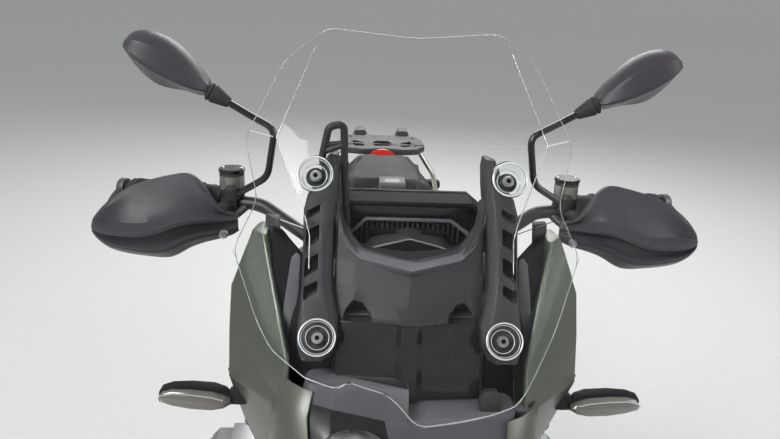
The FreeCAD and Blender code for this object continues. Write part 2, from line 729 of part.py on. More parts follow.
def exhaust_header(heads):
    """Header pipes from under the heads into a collector, with the tail pipe to the right."""
    y = float(dim.crank_y)
    z = float(dim.crank_z)
    x = float(dim.engine_half_width) + 152
    pipes = [tube([(side * x, y - 10, z - 82), (side * x, y - 10, z - 150), (side * 200, y + 40, 262),
                   (side * 60, y + 140, 262)], 19, 60) for side in (-1, 1)]
    collector = box((-88, 88), (y + 115, y + 230), (236, 300))
    tail = tube([(-60, 20, 264), (-160, 50, 268), (-188, 210, 334), (-192, 400, 430)], 23, 70)
    header = merged(pipes + [collector, tail]).cut(heads)
    node("exhaust_header", header)
    return header


def silencer():
    """Can with cones at both ends and an open outlet."""
    start = Vector(-192, 400, 430)
    end = Vector(-204, 820, 560)
    run = end - start
    way = Vector(run).normalize()
    inlet = 50
    tail = 46
    can = primitive("Cylinder", "silencer_can", start, way, Radius=dim.silencer_radius, Height=run.Length)
    cone = primitive("Cone", "silencer_inlet", start - way * inlet, way, Radius1=26, Radius2=dim.silencer_radius,
                     Height=inlet)
    tip = primitive("Cone", "silencer_tip", end, way, Radius1=dim.silencer_radius, Radius2=36, Height=tail)
    outlet = primitive("Cylinder", "silencer_bore", end - way * 60, way, Radius=26, Height=120)
    whole = fused("silencer_whole", [cone, can, tip])
    return finished(cut_by("silencer", whole, outlet, doc.getObject("exhaust_header")))


TANK_LAND = 1075
CAP_Y = -120
# Tank sections: y, half width, bottom, shoulder height, top, half width of the top
TANK = [
    (-292, 132, 868, 960, 1010, 60),
    (-230, 178, 820, 985, 1062, 66),
    (-180, 192, 806, 985, TANK_LAND, 66),
    (-60, 196, 800, 975, TANK_LAND, 66),
    (20, 168, 806, 930, 1010, 56),
    (84, 112, 812, 860, 890, 50),
]


def fuel_tank(frame_room):
    """Tank over the frame rails, with a flat land for its cap."""
    sections = [[(-wide, y, low + 30), (-wide, y, shoulder), (-flat, y, high), (flat, y, high),
                 (wide, y, shoulder), (wide, y, low + 30), (wide * 0.62, y, low), (-wide * 0.62, y, low)]
                for y, wide, low, shoulder, high, flat in TANK]
    shape = moulded(sections, 34)
    tunnel = box((-58, 58), (-400, 200), (700, 905))
    shape = seated(shape, tunnel, *frame_room)
    neck = rod((0, CAP_Y, TANK_LAND - 25), (0, CAP_Y, TANK_LAND + 15), 30)
    shape = shape.cut(neck)
    node("fuel_tank", shape)
    return shape


def fuel_cap():
    """Hinged cap over the filler."""
    top = TANK_LAND + dim.fit_gap
    y = CAP_Y
    knuckle_length = 32
    lid = primitive("Cylinder", "cap_lid", (0, y, top), ALONG_Z, Radius=dim.cap_radius, Height=11)
    plug = primitive("Cylinder", "cap_plug", (0, y, top - 14), ALONG_Z, Radius=24, Height=16)
    knuckle = primitive("Cylinder", "cap_knuckle", (-knuckle_length / 2, y - dim.cap_radius - 2, top + 6), ALONG_X,
                        Radius=5.7, Height=knuckle_length)
    ear = primitive("Box", "cap_ear", (-12, y - dim.cap_radius - 1, top + 2), ALONG_Z, Length=24, Width=17, Height=7)
    return finished(fused("fuel_cap", [lid, plug, knuckle, ear]))


# Seat sections: y, half width, bottom, shoulder height, top, half width of the top
RIDER_SEAT = [
    (92, 78, 774, 850, 872, 45),
    (160, 118, 758, 846, 868, 80),
    (300, 158, 772, 840, 866, 120),
    (400, 168, 784, 846, 872, 130),
    (436, 165, 794, 866, 896, 125),
]
PILLION_SEAT = [
    (440, 160, 795, 912, 948, 110),
    (480, 158, 805, 930, 968, 112),
    (600, 140, 836, 940, 978, 100),
    (730, 112, 871, 944, 980, 76),
    (752, 100, 877, 930, 962, 66),
]


def seat_shape(table):
    return moulded([[(-wide * 0.72, y, low), (-wide, y, shoulder), (-flat, y, high), (flat, y, high),
                     (wide, y, shoulder), (wide * 0.72, y, low)] for y, wide, low, shoulder, high, flat in table], 22)


def subframe_paths(side):
    """Routes of the rear subframe's tubes on one side."""
    pivot_y = float(dim.swingarm_pivot_y)
    upper = [(side * 105, pivot_y - 20, 742), (side * 105, 400, 775), (side * 84, 860, 896)]
    lower = [(side * 98, pivot_y + 30, 590), (side * 94, 600, 824)]
    return upper, lower


def subframe(frame_room, frame):
    """Rear tubes that carry the seats, tail and rack."""
    radius = dim.rail_radius
    parts = [tube(path, radius, 80) for side in (-1, 1) for path in subframe_paths(side)]
    parts.append(rod((-97, 500, 801), (97, 500, 801), radius))
    parts.append(rod((-90, 740, 864), (90, 740, 864), radius))
    parts.append(rod((-84, 856, 895), (84, 856, 895), radius))
    shape = seated(merged(parts), *frame_room).cut(frame)
    node("subframe", shape)
    return shape


def swingarm():
    """Single swingarm round the drive shaft, with the final drive, spindle and rear caliper."""
    x = float(dim.swingarm_x)
    y = float(dim.swingarm_pivot_y)
    z = float(dim.swingarm_pivot_z)
    gap = float(dim.disc_running_gap)
    inner = float(dim.rear_disc_x)
    housing = rod((inner + 15, *rear_axle[1:]), (152, *rear_axle[1:]), 74)
    nose = Part.makeCone(74, 40, 22, Vector(152, *rear_axle[1:]), ALONG_X)
    arm = rod((x, y + 66, z), (x, rear_axle.y - 20, rear_axle.z + 8), dim.swingarm_radius)
    barrel = rod((-91.5, y, z), (91.5, y, z), 27)
    link = box((-62, 62), (y, y + 100), (z - 24, z + 24))
    cross = box((-62, x), (y + 72, y + 118), (z - 26, z + 26))
    spindle = rod((-52, *rear_axle[1:]), (inner + 20, *rear_axle[1:]), dim.rear_spindle_radius)
    nut = rod((-64, *rear_axle[1:]), (-46 - dim.fit_gap, *rear_axle[1:]), 30)
    caliper = box((inner - 14, inner + 30), (rear_axle.y - 150, rear_axle.y - 62),
                  (rear_axle.z + 20, rear_axle.z + 112))
    caliper = caliper.makeFillet(9, edges_along_x(caliper))
    bracket = box((inner + 18, x), (rear_axle.y - 138, rear_axle.y - 72), (rear_axle.z + 24, rear_axle.z + 56))
    disc = rod((inner - gap, *rear_axle[1:]), (inner + dim.disc_thickness + gap, *rear_axle[1:]),
               dim.rear_disc_radius + gap)
    carrier = rod((inner - 12, *rear_axle[1:]), (inner + 14, *rear_axle[1:]), 84)
    caliper = caliper.cut(disc).cut(carrier)
    shape = merged([housing, nose, arm, barrel, link, cross, spindle, nut, caliper, bracket])
    node("swingarm", shape)
    return shape


def shaft_boot():
    """Ribbed rubber boot between the gearbox and the swingarm."""
    start = dim.crank_y + 252
    end = dim.swingarm_pivot_y + 66
    count = 5
    half = (end - start) / (2 * count)
    pleats = []
    for index in range(count):
        foot = start + half * (2 * index)
        pleats.append(primitive("Cone", f"pleat_rise_{index}", (dim.swingarm_x, foot, dim.swingarm_pivot_z), ALONG_Y,
                                Radius1=19, Radius2=24, Height=half))
        pleats.append(primitive("Cone", f"pleat_fall_{index}", (dim.swingarm_x, foot + half, dim.swingarm_pivot_z),
                                ALONG_Y, Radius1=24, Radius2=19, Height=half))
    sleeve = fused("boot_sleeve", pleats)
    return finished(cut_by("shaft_boot", sleeve, doc.getObject("crankcase"), doc.getObject("swingarm")))


def shock(arm, frame):
    """Coil-over shock absorber from the frame's cross tube to the swingarm."""
    top = Vector(0, 196, 596)
    foot = Vector(0, 262, 408)
    run = (foot - top).normalize()
    body = rod(top, foot, 17)
    coils = [rod(top + run * (34 + 19 * i), top + run * (44 + 19 * i), 36) for i in range(7)]
    cup = rod(top + run * 24, top + run * 34, 40)
    eye = rod((-17, top.y, top.z), (17, top.y, top.z), 18)
    node("shock", merged([body, cup, eye] + coils).cut(arm).cut(frame))


def radiators(frame_room):
    """Radiator beside each down tube, with fins and a bracket."""
    core = box((112, 176), (-398, -362), (640, 792))
    slots = [box((120, 168), (-400, -388), (z, z + 6)) for z in range(652, 784, 12)]
    arm = box((60, 114), (-384, -350), (706, 724)).fuse(box((174, 196), (-394, -374), (764, 784)))
    shape = both(merged([core.cut(Part.makeCompound(slots)), arm]))
    return node("radiators", seated(shape, *frame_room))


def skid_plate(case):
    """Bent plate under the crankcase."""
    y = float(dim.crank_y)
    outline = [(y - 205, 470), (y - 199, 474), (y - 150, 318), (y - 70, 228), (y + 108, 228), (y + 108, 222),
               (y - 72, 222), (y - 156, 314)]
    plate = outline_x(outline, -125, 125)
    posts = [box((x - 10, x + 10), (y - 60, y - 20), (226, 330)) for x in (-60, 60)]
    node("skid_plate", merged([plate] + posts).cut(case))


def footrests(case, frame):
    """Footrest brackets with their pegs, gear lever and brake pedal."""
    y = float(dim.swingarm_pivot_y)
    plate = outline_x([(y - 40, 300), (y + 40, 330), (y + 40, 372), (y - 40, 372)], 104, 112)
    carrier = rod((108, y, 352), (150, y, 352), 9)
    peg = box((148, 246), (y - 15, y + 15), (344, 358))
    teeth = [box((x, x + 5), (y - 15, y + 15), (357, 362)) for x in range(156, 244, 14)]
    pedal = tube([(110, y - 16, 346), (172, y - 60, 352), (176, y - 160, 350)], 6, 20)
    pad = rod((172, y - 160, 350), (214, y - 160, 350), 9)
    hinge = rod((108, y - 18, 346), (126, y - 18, 346), 10)
    shape = both(merged([plate, carrier, peg, pedal, pad, hinge] + teeth))
    node("footrests", shape.cut(frame))


def centre_stand():
    """Two splayed legs on a cross tube, feet ahead of the pivot."""
    y = float(dim.stand_y)
    z = float(dim.stand_z)
    radius = dim.stand_tube_radius
    parts = [rod((-91.5, y, z), (91.5, y, z), 13), rod((-103.5, y, z), (103.5, y, z), 8)]
    for side in (-1, 1):
        parts.append(rod((side * 64, y, z), (side * 132, y - 38, 14), radius))
        foot = box((112, 148), (y - 62, y - 16), (0, 12))
        parts.append(foot if side > 0 else mirrored(foot))
    parts.append(rod((-86, y - 13, z - 100), (86, y - 13, z - 100), 10))
    node("centre_stand", merged(parts))


def side_stand():
    """Folded side stand on the left."""
    point = STAND_LUG_POINT
    axis = STAND_LUG_AXIS
    reach = 285
    knuckle = primitive("Cylinder", "stand_knuckle", point - axis * 12, axis, Radius=16, Height=20)
    pin = primitive("Cylinder", "stand_pin", point, axis, Radius=6, Height=40)
    leg = primitive("Cylinder", "stand_leg", point - axis * 4, ALONG_Y, Radius=10, Height=reach)
    foot = primitive("Cylinder", "stand_foot", point + Vector(0, reach - 7, 0) - axis * 2, ALONG_Y, Radius=25, Height=8)
    return finished(fused("side_stand", [knuckle, pin, leg, foot]))


# Front cowl sections: height, then x, y of the front face from the middle to the side, and the back
COWL = [
    (1103, (0, -616), (84, -600), (98, -590), (98, -558)),
    (1172, (0, -576), (70, -566), (96, -556), (96, -526)),
    (1236, (0, -550), (78, -540), (96, -526), (96, -504)),
]
COWL_OPENING = [(98, 1250), (96, 1233), (85, 1200), (64, 1177), (0, 1171)]
COWL_ARCH = [(48, 1090), (50, 1112), (60, 1123), (70, 1125), (79, 1114), (86, 1090)]
COWL_LIP = [(97, -508, 1238), (95, -520, 1218), (86, -532, 1197), (64, -550, 1177), (0, -572, 1168)]


def nose_cowl(frame):
    """Matte cowl behind the screen with a deep U that shows the display."""
    sections = []
    for z, middle, edge, side, back in COWL:
        right = [(x, y, z) for x, y in (middle, edge, side, back)]
        left = [(-x, y, z) for x, y in (back, side, edge)]
        sections.append(right + left)
    shape = solid_of(sections)
    opening = COWL_OPENING + [(-x, z) for x, z in reversed(COWL_OPENING[:-1])]
    shape = shape.cut(outline_y(opening, -700, -450))
    arch = outline_y(COWL_ARCH, -700, -570)
    shape = shape.cut(arch).cut(mirrored(arch))
    lip = tube(COWL_LIP + [(-x, y, z) for x, y, z in reversed(COWL_LIP[:-1])], 6, 24)
    wall = solid_of([[(-97, -618, 1004), (97, -618, 1004), (97, -604, 1004), (-97, -604, 1004)],
                     [(-97, -586, 1106), (97, -586, 1106), (97, -562, 1106), (-97, -562, 1106)]])
    return merged([shape, wall, lip]).cut(frame)


# Screen arm sections: height, outer x, inner x, front y, depth of the inner flank
SCREEN_ARM = [
    (1066, 132, 100, -642, 26),
    (1084, 139, 91, -632, 26),
    (1110, 139, 91, -617, 26),
    (1136, 136, 98, -600, 24),
    (1210, 138, 100, -555, 20),
    (1250, 142, 96, -529, 15),
    (1278, 142, 96, -514, 13),
    (1292, 136, 102, -507, 12),
]
ARM_SLOTS = [(1132, 18), (1156, 24), (1188, 24), (1220, 14)]


def screen_arms(cowl):
    """Slotted arms with a recessed inner flank, broad at the cups that they carry."""
    arm = solid_of([[(outer, front + 4, z), (outer - 5, front, z), (inner + 8, front, z), (inner, front + 6, z),
                     (inner, front + deep, z), (outer - 14, front + deep, z), (outer - 10, front + 11, z),
                     (outer, front + 10, z)] for z, outer, inner, front, deep in SCREEN_ARM])
    slots = [prism([(118, -700, low), (130, -700, low), (131, -700, low + tall - 4), (119, -700, low + tall)],
                   (0, 260, 0)) for low, tall in ARM_SLOTS]
    arm = largest(seated(arm, *slots).cut(cowl))
    shape = both(arm)
    node("screen_arms", shape)
    return shape


# Nose mask sections: height, half width, depth of the front's middle, front's corner and back
MASK = [
    (836, 58, -762, -742, -690),
    (900, 98, -752, -722, -652),
    (960, 126, -712, -684, -622),
    (1004, 136, -674, -656, -606),
    (1036, 128, -652, -640, -604),
]


def headlight_mask(frame, cowl, screen_room):
    """Nose mask under the screen, lower on the left than on the right."""
    sections = [[(0, front, z), (wide * 0.7, (front + corner) / 2, z), (wide, corner, z), (wide, back, z),
                 (-wide, back, z), (-wide, corner, z), (-wide * 0.7, (front + corner) / 2, z)]
                for z, wide, front, corner, back in MASK]
    shape = moulded(sections, 14)
    shape = shape.cut(box((0, 200), (-800, -500), (1006, 1100)))
    ear = box((110, 162), (-638, -620), (974, 1000))
    shape = merged([shape, ear, mirrored(ear)])
    left = rod((-66, -800, 958), (-66, -690, 958), 50)
    right = rod((62, -800, 926), (62, -690, 926), 38)
    shape = seated(shape, left, right, frame, cowl, screen_room)
    node("headlight_mask", shape)
    return shape


def headlight_lenses(mask):
    """Two round lamps of different size, seated in the mask."""
    left = rod((-66, -722, 958), (-66, -690, 958), 49.7)
    right = rod((62, -736, 926), (62, -690, 926), 37.7)
    node("headlight_lenses", Part.makeCompound([left.cut(mask), right.cut(mask)]))


# Beak sections: depth, half width, bottom, top
BEAK = [
    (-700, 78, 800, 836),
    (-760, 82, 798, 840),
    (-860, 62, 792, 824),
    (-950, 34, 782, 800),
    (-985, 14, 778, 788),
]


def beak(mask):
    sections = [[(-wide, y, low), (-wide, y, (low + high) / 2), (0, y, high), (wide, y, (low + high) / 2),
                 (wide, y, low), (0, y, low + 6)] for y, wide, low, high in BEAK]
    node("beak", moulded(sections, 8).cut(mask))


# Side panel sections: height, front inner x, y, corner x, y, rear x, y
SIDE_PANEL = [
    (760, 186, -480, 204, -440, 216, -300),
    (880, 166, -600, 226, -500, 240, -250),
    (993, 152, -640, 238, -556, 236, -240),
    (1053, 150, -618, 240, -532, 226, -330),
    (1105, 166, -578, 240, -508, 222, -400),
    (1183, 190, -520, 210, -494, 204, -462),
]


def side_panels(*carriers):
    """Fairing panels beside the nose, from the screen down to the radiators."""
    wall = float(dim.panel_wall)
    sections = [[(x1, y1, z), (x2, y2, z), (x3, y3, z), (x3 - wall, y3, z), (x2 - wall, y2 + wall * 0.4, z),
                 (x1, y1 + wall, z)] for z, x1, y1, x2, y2, x3, y3 in SIDE_PANEL]
    shape = both(largest(seated(moulded(sections, 6), *carriers)))
    node("side_panels", shape)
    return shape


def panel_fins(panels):
    """Dark fins between the screen and the side panels."""
    fin = solid_of([[(166, -606, 1070), (180, -596, 1070), (180, -584, 1070), (160, -590, 1070)],
                    [(176, -476, 1194), (196, -470, 1194), (196, -458, 1194), (176, -462, 1194)]])
    node("panel_fins", both(largest(fin.cut(panels))))


def display(cowl):
    """Eight-sided display housing behind the screen."""
    outline = [(82, 1226), (108, 1204), (112, 1176), (92, 1154), (-92, 1154), (-112, 1176), (-108, 1204), (-82, 1226)]
    shape = outline_y(outline, -480, -438)
    tray = outline_y([(52, 1186), (60, 1156), (-60, 1156), (-52, 1186)], -540, -478)
    hood = outline_y([(x * 1.03, z + (2 if z > 1190 else -2)) for x, z in outline], -493, -440)
    hood = hood.cut(outline_y([(x * 0.97, z - (2 if z > 1190 else -2)) for x, z in outline], -510, -478))
    shape = merged([shape, tray, hood]).cut(cowl)
    node("display", shape)
    return shape


def display_shield(cowl, panel):
    """Sloping shield between the display and the cowl."""
    outline = [(0, 1198), (50, 1190), (84, 1176), (84, 1150), (-84, 1150), (-84, 1176), (-50, 1190)]
    shape = outline_y(outline, -540, -486)
    node("display_shield", shape.cut(panel).cut(cowl))


def screen_lever(cowl):
    """Looped lever that adjusts the screen by hand."""
    loop = tube([(-94, -512, 1216), (-118, -486, 1284), (-110, -484, 1324), (-90, -484, 1330),
                 (-88, -490, 1262), (-82, -514, 1190)], 5, 10)
    bar = rod((-112, -485, 1300), (-89, -486, 1304), 4)
    node("screen_lever", largest(merged([loop, bar]).cut(cowl)))


# Screen: height, depth of the middle, half width between the creases
SCREEN = [
    (985, -692, 130),
    (1100, -645, 126),
    (1212, -583, 128),
    (1313, -526, 176),
    (1450, -440, 119),
]
SCREEN_OUTLINE = [(0, 1437), (115, 1446), (170, 1403), (220, 1301), (201, 1228), (238, 1157), (194, 1083),
                  (164, 1047), (143, 1026), (101, 1015), (63, 1009), (10, 1003), (-13, 1027), (-29, 1039),
                  (-74, 1050), (-90, 1042), (-151, 1057), (-174, 1063), (-194, 1085), (-236, 1157),
                  (-202, 1228), (-222, 1301), (-172, 1402), (-116, 1446)]
SCREEN_TILT = Vector(0, -0.859, 0.511)


SCREEN_REACH = 262


def screen_block(front, back):
    """The screen's curved form between two depths, wider than its outline."""
    wires = []
    for z, depth, crease in SCREEN:
        def at(x, shift):
            rise = min(abs(x), crease) ** 2 * 0.0006 + max(abs(x) - crease, 0) * 0.9
            return Vector(x, depth + rise + shift, z)

        wide = SCREEN_REACH
        edges = [Part.makeLine(at(-wide, front), at(-crease, front)),
                 Part.Arc(at(-crease, front), at(0, front), at(crease, front)).toShape(),
                 Part.makeLine(at(crease, front), at(wide, front)),
                 Part.makeLine(at(wide, front), at(wide, back)),
                 Part.makeLine(at(wide, back), at(crease, back)),
                 Part.Arc(at(crease, back), at(0, back), at(-crease, back)).toShape(),
                 Part.makeLine(at(-crease, back), at(-wide, back)),
                 Part.makeLine(at(-wide, back), at(-wide, front))]
        wires.append(Part.Wire(edges))
    return Part.makeLoft(wires, True, True)


def windscreen(arms):
    """Curved screen with swept edges, on four deep cups that seat on the arms."""
    thick = float(dim.screen_thickness)
    behind = screen_block(0, 90)
    shape = screen_block(0, thick).common(outline_y(SCREEN_OUTLINE, -800, -300))
    cups = []
    for x, y, z in ((124, -521, 1266), (114, -628, 1092)):
        for side in (-1, 1):
            foot = Vector(side * x, y, z)
            outer = Part.makeCone(19, 33, 44, foot, SCREEN_TILT)
            inner = Part.makeCone(16.2, 30.2, 44, foot + SCREEN_TILT * 3, SCREEN_TILT)
            cups.append(outer.cut(inner).common(behind))
            shape = shape.cut(inner)
    shape = merged([shape] + cups)
    shape = shape.cut(arms)
    node("windscreen", shape)
    return shape


def indicators(panels, hanger):
    """Indicator stalks and their lenses at the nose's sides."""
    stalk = solid_of([[(222, -556, 972), (222, -536, 972), (222, -536, 1004), (222, -556, 1004)],
                      [(282, -548, 958), (282, -530, 958), (282, -530, 988), (282, -548, 988)]])
    head = solid_of([[(274, -552, 952), (274, -526, 952), (274, -526, 992), (274, -552, 992)],
                     [(330, -544, 944), (330, -524, 944), (330, -524, 974), (330, -544, 974)]])
    lens = solid_of([[(278, -562, 956), (278, -552, 956), (278, -552, 988), (278, -562, 988)],
                     [(334, -552, 946), (334, -540, 946), (334, -540, 974), (334, -552, 974)]])
    housing = merged([stalk, head])
    rear_stalk = rod((40, 884, 862), (150, 886, 846), 7)
    rear_head = box((146, 196), (874, 898), (828, 862))
    rear_lens = box((148, 194), (898, 906), (831, 859))
    node("indicators", Part.makeCompound(both(housing.cut(panels)).Solids
                                         + both(merged([rear_stalk, rear_head]).cut(hanger)).Solids))
    node("indicator_lenses", Part.makeCompound(both(lens.cut(housing)).Solids + both(rear_lens).Solids))


def tail_cowl(*carriers):
    """Side panels along the seat and the deck under the rack."""
    panel = solid_of([[(122, 250, 750), (130, 250, 750), (134, 250, 770), (124, 250, 770)],
                      [(122, 500, 760), (140, 500, 764), (142, 500, 800), (124, 500, 800)],
                      [(104, 860, 862), (118, 860, 866), (120, 860, 918), (104, 860, 922)]])
    bosses = [rod((108, 420, 780), (128, 420, 780), 7), rod((92, 800, 880), (114, 800, 880), 7)]
    shape = both(merged([panel] + bosses))
    for side in (-1, 1):
        for path in subframe_paths(side):
            shape = shape.cut(tube(path, dim.rail_radius + dim.fit_gap, 80))
    shape = seated(shape, *carriers)
    node("tail_cowl", shape)


# Half of the rack's outline from the front middle to the rear: x, y
RACK_OUTLINE = [(0, 800), (62, 784), (108, 796), (136, 846), (133, 930), (120, 968), (98, 984), (94, 1040), (78, 1060),
                (58, 1060), (48, 1040), (44, 1000), (30, 988), (0, 986)]
RACK_HORN = [(94, 984), (92, 1040), (78, 1056), (60, 1056), (50, 1040), (48, 984)]
RACK_SIDE_OPENING = [(58, 826), (84, 822), (96, 852), (92, 902), (60, 872)]
RACK_MIDDLE_OPENING = [(-24, 832), (24, 832), (30, 878), (18, 902), (-18, 902), (-30, 878)]


def luggage_rack():
    """Rack plate with two raised horns, three openings and bolt holes, on posts."""
    low = float(dim.rack_z)
    high = low + float(dim.rack_thickness)
    outline = RACK_OUTLINE + [(-x, y) for x, y in reversed(RACK_OUTLINE[1:-1])]
    plate = outline_z(outline, low, high)
    upright = [edge for edge in plate.Edges if abs(edge.tangentAt(edge.FirstParameter).z) > 0.99]
    plate = plate.makeFillet(6, upright)
    rim = [edge for edge in plate.Edges if edge.BoundBox.ZMin > high - 0.1]
    plate = plate.makeChamfer(3, rim)
    horn = solid_of([[(x, y, high - 6) for x, y in RACK_HORN],
                     [(71 + (x - 71) * 0.72, 1022 + (y - 1022) * 0.85, high + 14) for x, y in RACK_HORN]])
    posts = [rod((side * 44, y, 890), (side * 44, y, low + 2), 9) for side in (-1, 1) for y in (850, 880)]
    base = box((-96, 96), (868, 960), (884, 900))
    shape = merged([plate, horn, mirrored(horn), base] + posts)
    openings = [outline_z(RACK_MIDDLE_OPENING, low - 5, high + 5)]
    for side in (-1, 1):
        openings.append(outline_z([(side * x, y) for x, y in RACK_SIDE_OPENING], low - 5, high + 5))
    y_middle = 900
    for dx in (-0.5, 0.5):
        for dy in (-0.5, 0.5):
            x = dx * dim.rack_bolt_x
            y = y_middle + dy * dim.rack_bolt_y
            openings.append(rod((x, y, low - 5), (x, y, high + 5), dim.rack_bolt_radius))
    return seated(shape, *openings)


def pannier_rails():
    return tube([(120, 858, 962), (168, 858, 890), (214, 850, 704), (214, 640, 656), (122, 440, 740)], 8, 40)


def tail_lamp():
    """Red arch in front of the rack."""
    arch = rod((0, 790, 921), (0, 806, 921), 62).common(box((-70, 70), (780, 815), (930, 1000)))
    return arch


def plate_hanger():
    """Mudguard tail with the bare plate's carrier."""
    arm = solid_of([[(-60, 868, 870), (60, 868, 870), (60, 868, 884), (-60, 868, 884)],
                    [(-50, 1040, 740), (50, 1040, 740), (50, 1050, 752), (-50, 1050, 752)]])
    plate = solid_of([[(-90, 1040, 752), (90, 1040, 752), (90, 1046, 756), (-90, 1046, 756)],
                      [(-90, 1129, 560), (90, 1129, 560), (90, 1135, 562), (-90, 1135, 562)]])
    return merged([arm, plate])


def build():
    front_wheel()
    rear_wheel()
    brake_discs()
    fork()
    calipers()
    front_mudguard()
    bar = handlebar()
    hand = bar_controls(bar)
    handguards(hand)
    mirrors(hand)
    frame_room = frame_tubes(float(dim.fit_gap))
    case = crankcase()
    heads = cylinders(case)
    frame = main_frame(case)
    header = exhaust_header(heads)
    silencer()
    fuel_tank(frame_room)
    fuel_cap()
    rails = subframe(frame_room, frame)
    rail_room = [tube(path, dim.rail_radius + dim.fit_gap, 80) for side in (-1, 1) for path in subframe_paths(side)]
    rider = node("rider_seat", seated(seat_shape(RIDER_SEAT), *frame_room, *rail_room, rails))
    pillion = node("pillion_seat", seated(seat_shape(PILLION_SEAT), *rail_room, rails))
    arm = swingarm()
    shaft_boot()
    shock(arm, frame)
    coolers = radiators(frame_room)
    skid_plate(case)
    footrests(case, frame)
    centre_stand()
    side_stand()
    cowl = nose_cowl(frame)
    node("nose_cowl", cowl)
    arms = screen_arms(cowl)
    mask = headlight_mask(frame, cowl, screen_block(-60, 6))
    headlight_lenses(mask)
    beak(mask)
    panels = side_panels(cowl, mask, arms, coolers, screen_block(-40, 6))
    panel_fins(panels)
    panel = display(cowl)
    display_shield(cowl, panel)
    screen_lever(cowl)
    windscreen(arms)
    tail_cowl(rider, pillion)
    rack = luggage_rack().cut(rails)
    node("luggage_rack", rack)
    node("pannier_rails", both(pannier_rails()).cut(rails).cut(rack))
    node("tail_lamp", tail_lamp().cut(rack))
    hanger = node("plate_hanger", plate_hanger().cut(rack).cut(rails))
    indicators(panels, hanger)


build()
doc.recompute()

# Every sub-part must be whole before anything is written
for item in doc.Objects:
    faults = {"Invalid", "Error"} & set(item.State)
    if faults:
        raise RuntimeError(f"{item.Label}: {sorted(faults)}")
broken = [item.Label for item in nodes if item.Shape.isNull() or not item.Shape.isValid()]
if broken:
    raise RuntimeError(f"not valid: {broken}")
os.makedirs("parts", exist_ok=True)
for sub_part in nodes:
    shape = sub_part.Shape
    shape.exportStep(f"parts/{sub_part.Label}.step")
    print(sub_part.Label, len(shape.Solids), round(shape.Volume / 1000), "cm3")
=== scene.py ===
"""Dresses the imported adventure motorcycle: finishes, fittings, soft seats, stage and camera."""

import json
import math

import bmesh
import bpy
from bpy.props import FloatProperty, FloatVectorProperty, PointerProperty
from mathutils import Matrix, Vector
from mathutils.bvhtree import BVHTree


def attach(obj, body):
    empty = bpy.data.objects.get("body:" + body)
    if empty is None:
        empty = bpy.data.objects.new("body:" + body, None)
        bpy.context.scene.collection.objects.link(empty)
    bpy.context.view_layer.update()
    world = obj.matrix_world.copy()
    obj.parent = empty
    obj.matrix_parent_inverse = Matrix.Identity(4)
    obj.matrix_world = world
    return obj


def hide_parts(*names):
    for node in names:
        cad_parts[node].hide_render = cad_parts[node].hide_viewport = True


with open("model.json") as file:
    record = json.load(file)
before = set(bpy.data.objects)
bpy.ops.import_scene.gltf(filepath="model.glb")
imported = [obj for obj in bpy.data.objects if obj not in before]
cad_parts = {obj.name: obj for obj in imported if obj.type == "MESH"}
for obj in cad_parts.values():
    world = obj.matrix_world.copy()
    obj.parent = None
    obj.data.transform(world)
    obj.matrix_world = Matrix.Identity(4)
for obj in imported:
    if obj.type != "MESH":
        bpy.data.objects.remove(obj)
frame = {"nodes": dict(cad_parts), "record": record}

bl_info = {
    "name": "Adventure Motorcycle Dress",
    "version": (1, 0, 0),
    "blender": (4, 5, 0),
    "location": "View3D > Sidebar > Motorcycle",
    "description": "Finishes and fittings for the packed adventure motorcycle",
    "category": "Object",
}

MM = 0.001


# Shader maths
class Value:
    """A shader socket that takes part in Python sums."""

    def __init__(self, tree, socket):
        self.tree = tree
        self.socket = socket

    def worked(self, operation, *terms):
        """A Math node on values and numbers."""
        node = self.tree.nodes.new("ShaderNodeMath")
        node.operation = operation
        for slot, term in zip(node.inputs, terms):
            plug(self.tree, slot, term)
        return Value(self.tree, node.outputs[0])

    def __add__(self, other):
        return self.worked("ADD", self, other)

    def __radd__(self, other):
        return self.worked("ADD", other, self)

    def __sub__(self, other):
        return self.worked("SUBTRACT", self, other)

    def __rsub__(self, other):
        return self.worked("SUBTRACT", other, self)

    def __mul__(self, other):
        return self.worked("MULTIPLY", self, other)

    def __rmul__(self, other):
        return self.worked("MULTIPLY", other, self)

    def held(self):
        """Kept between 0 and 1."""
        node = self.tree.nodes.new("ShaderNodeClamp")
        plug(self.tree, node.inputs[0], self)
        return Value(self.tree, node.outputs[0])


def plug(tree, slot, item):
    """Link a value or set a number on a socket."""
    if isinstance(item, Value):
        tree.links.new(item.socket, slot)
    else:
        slot.default_value = item


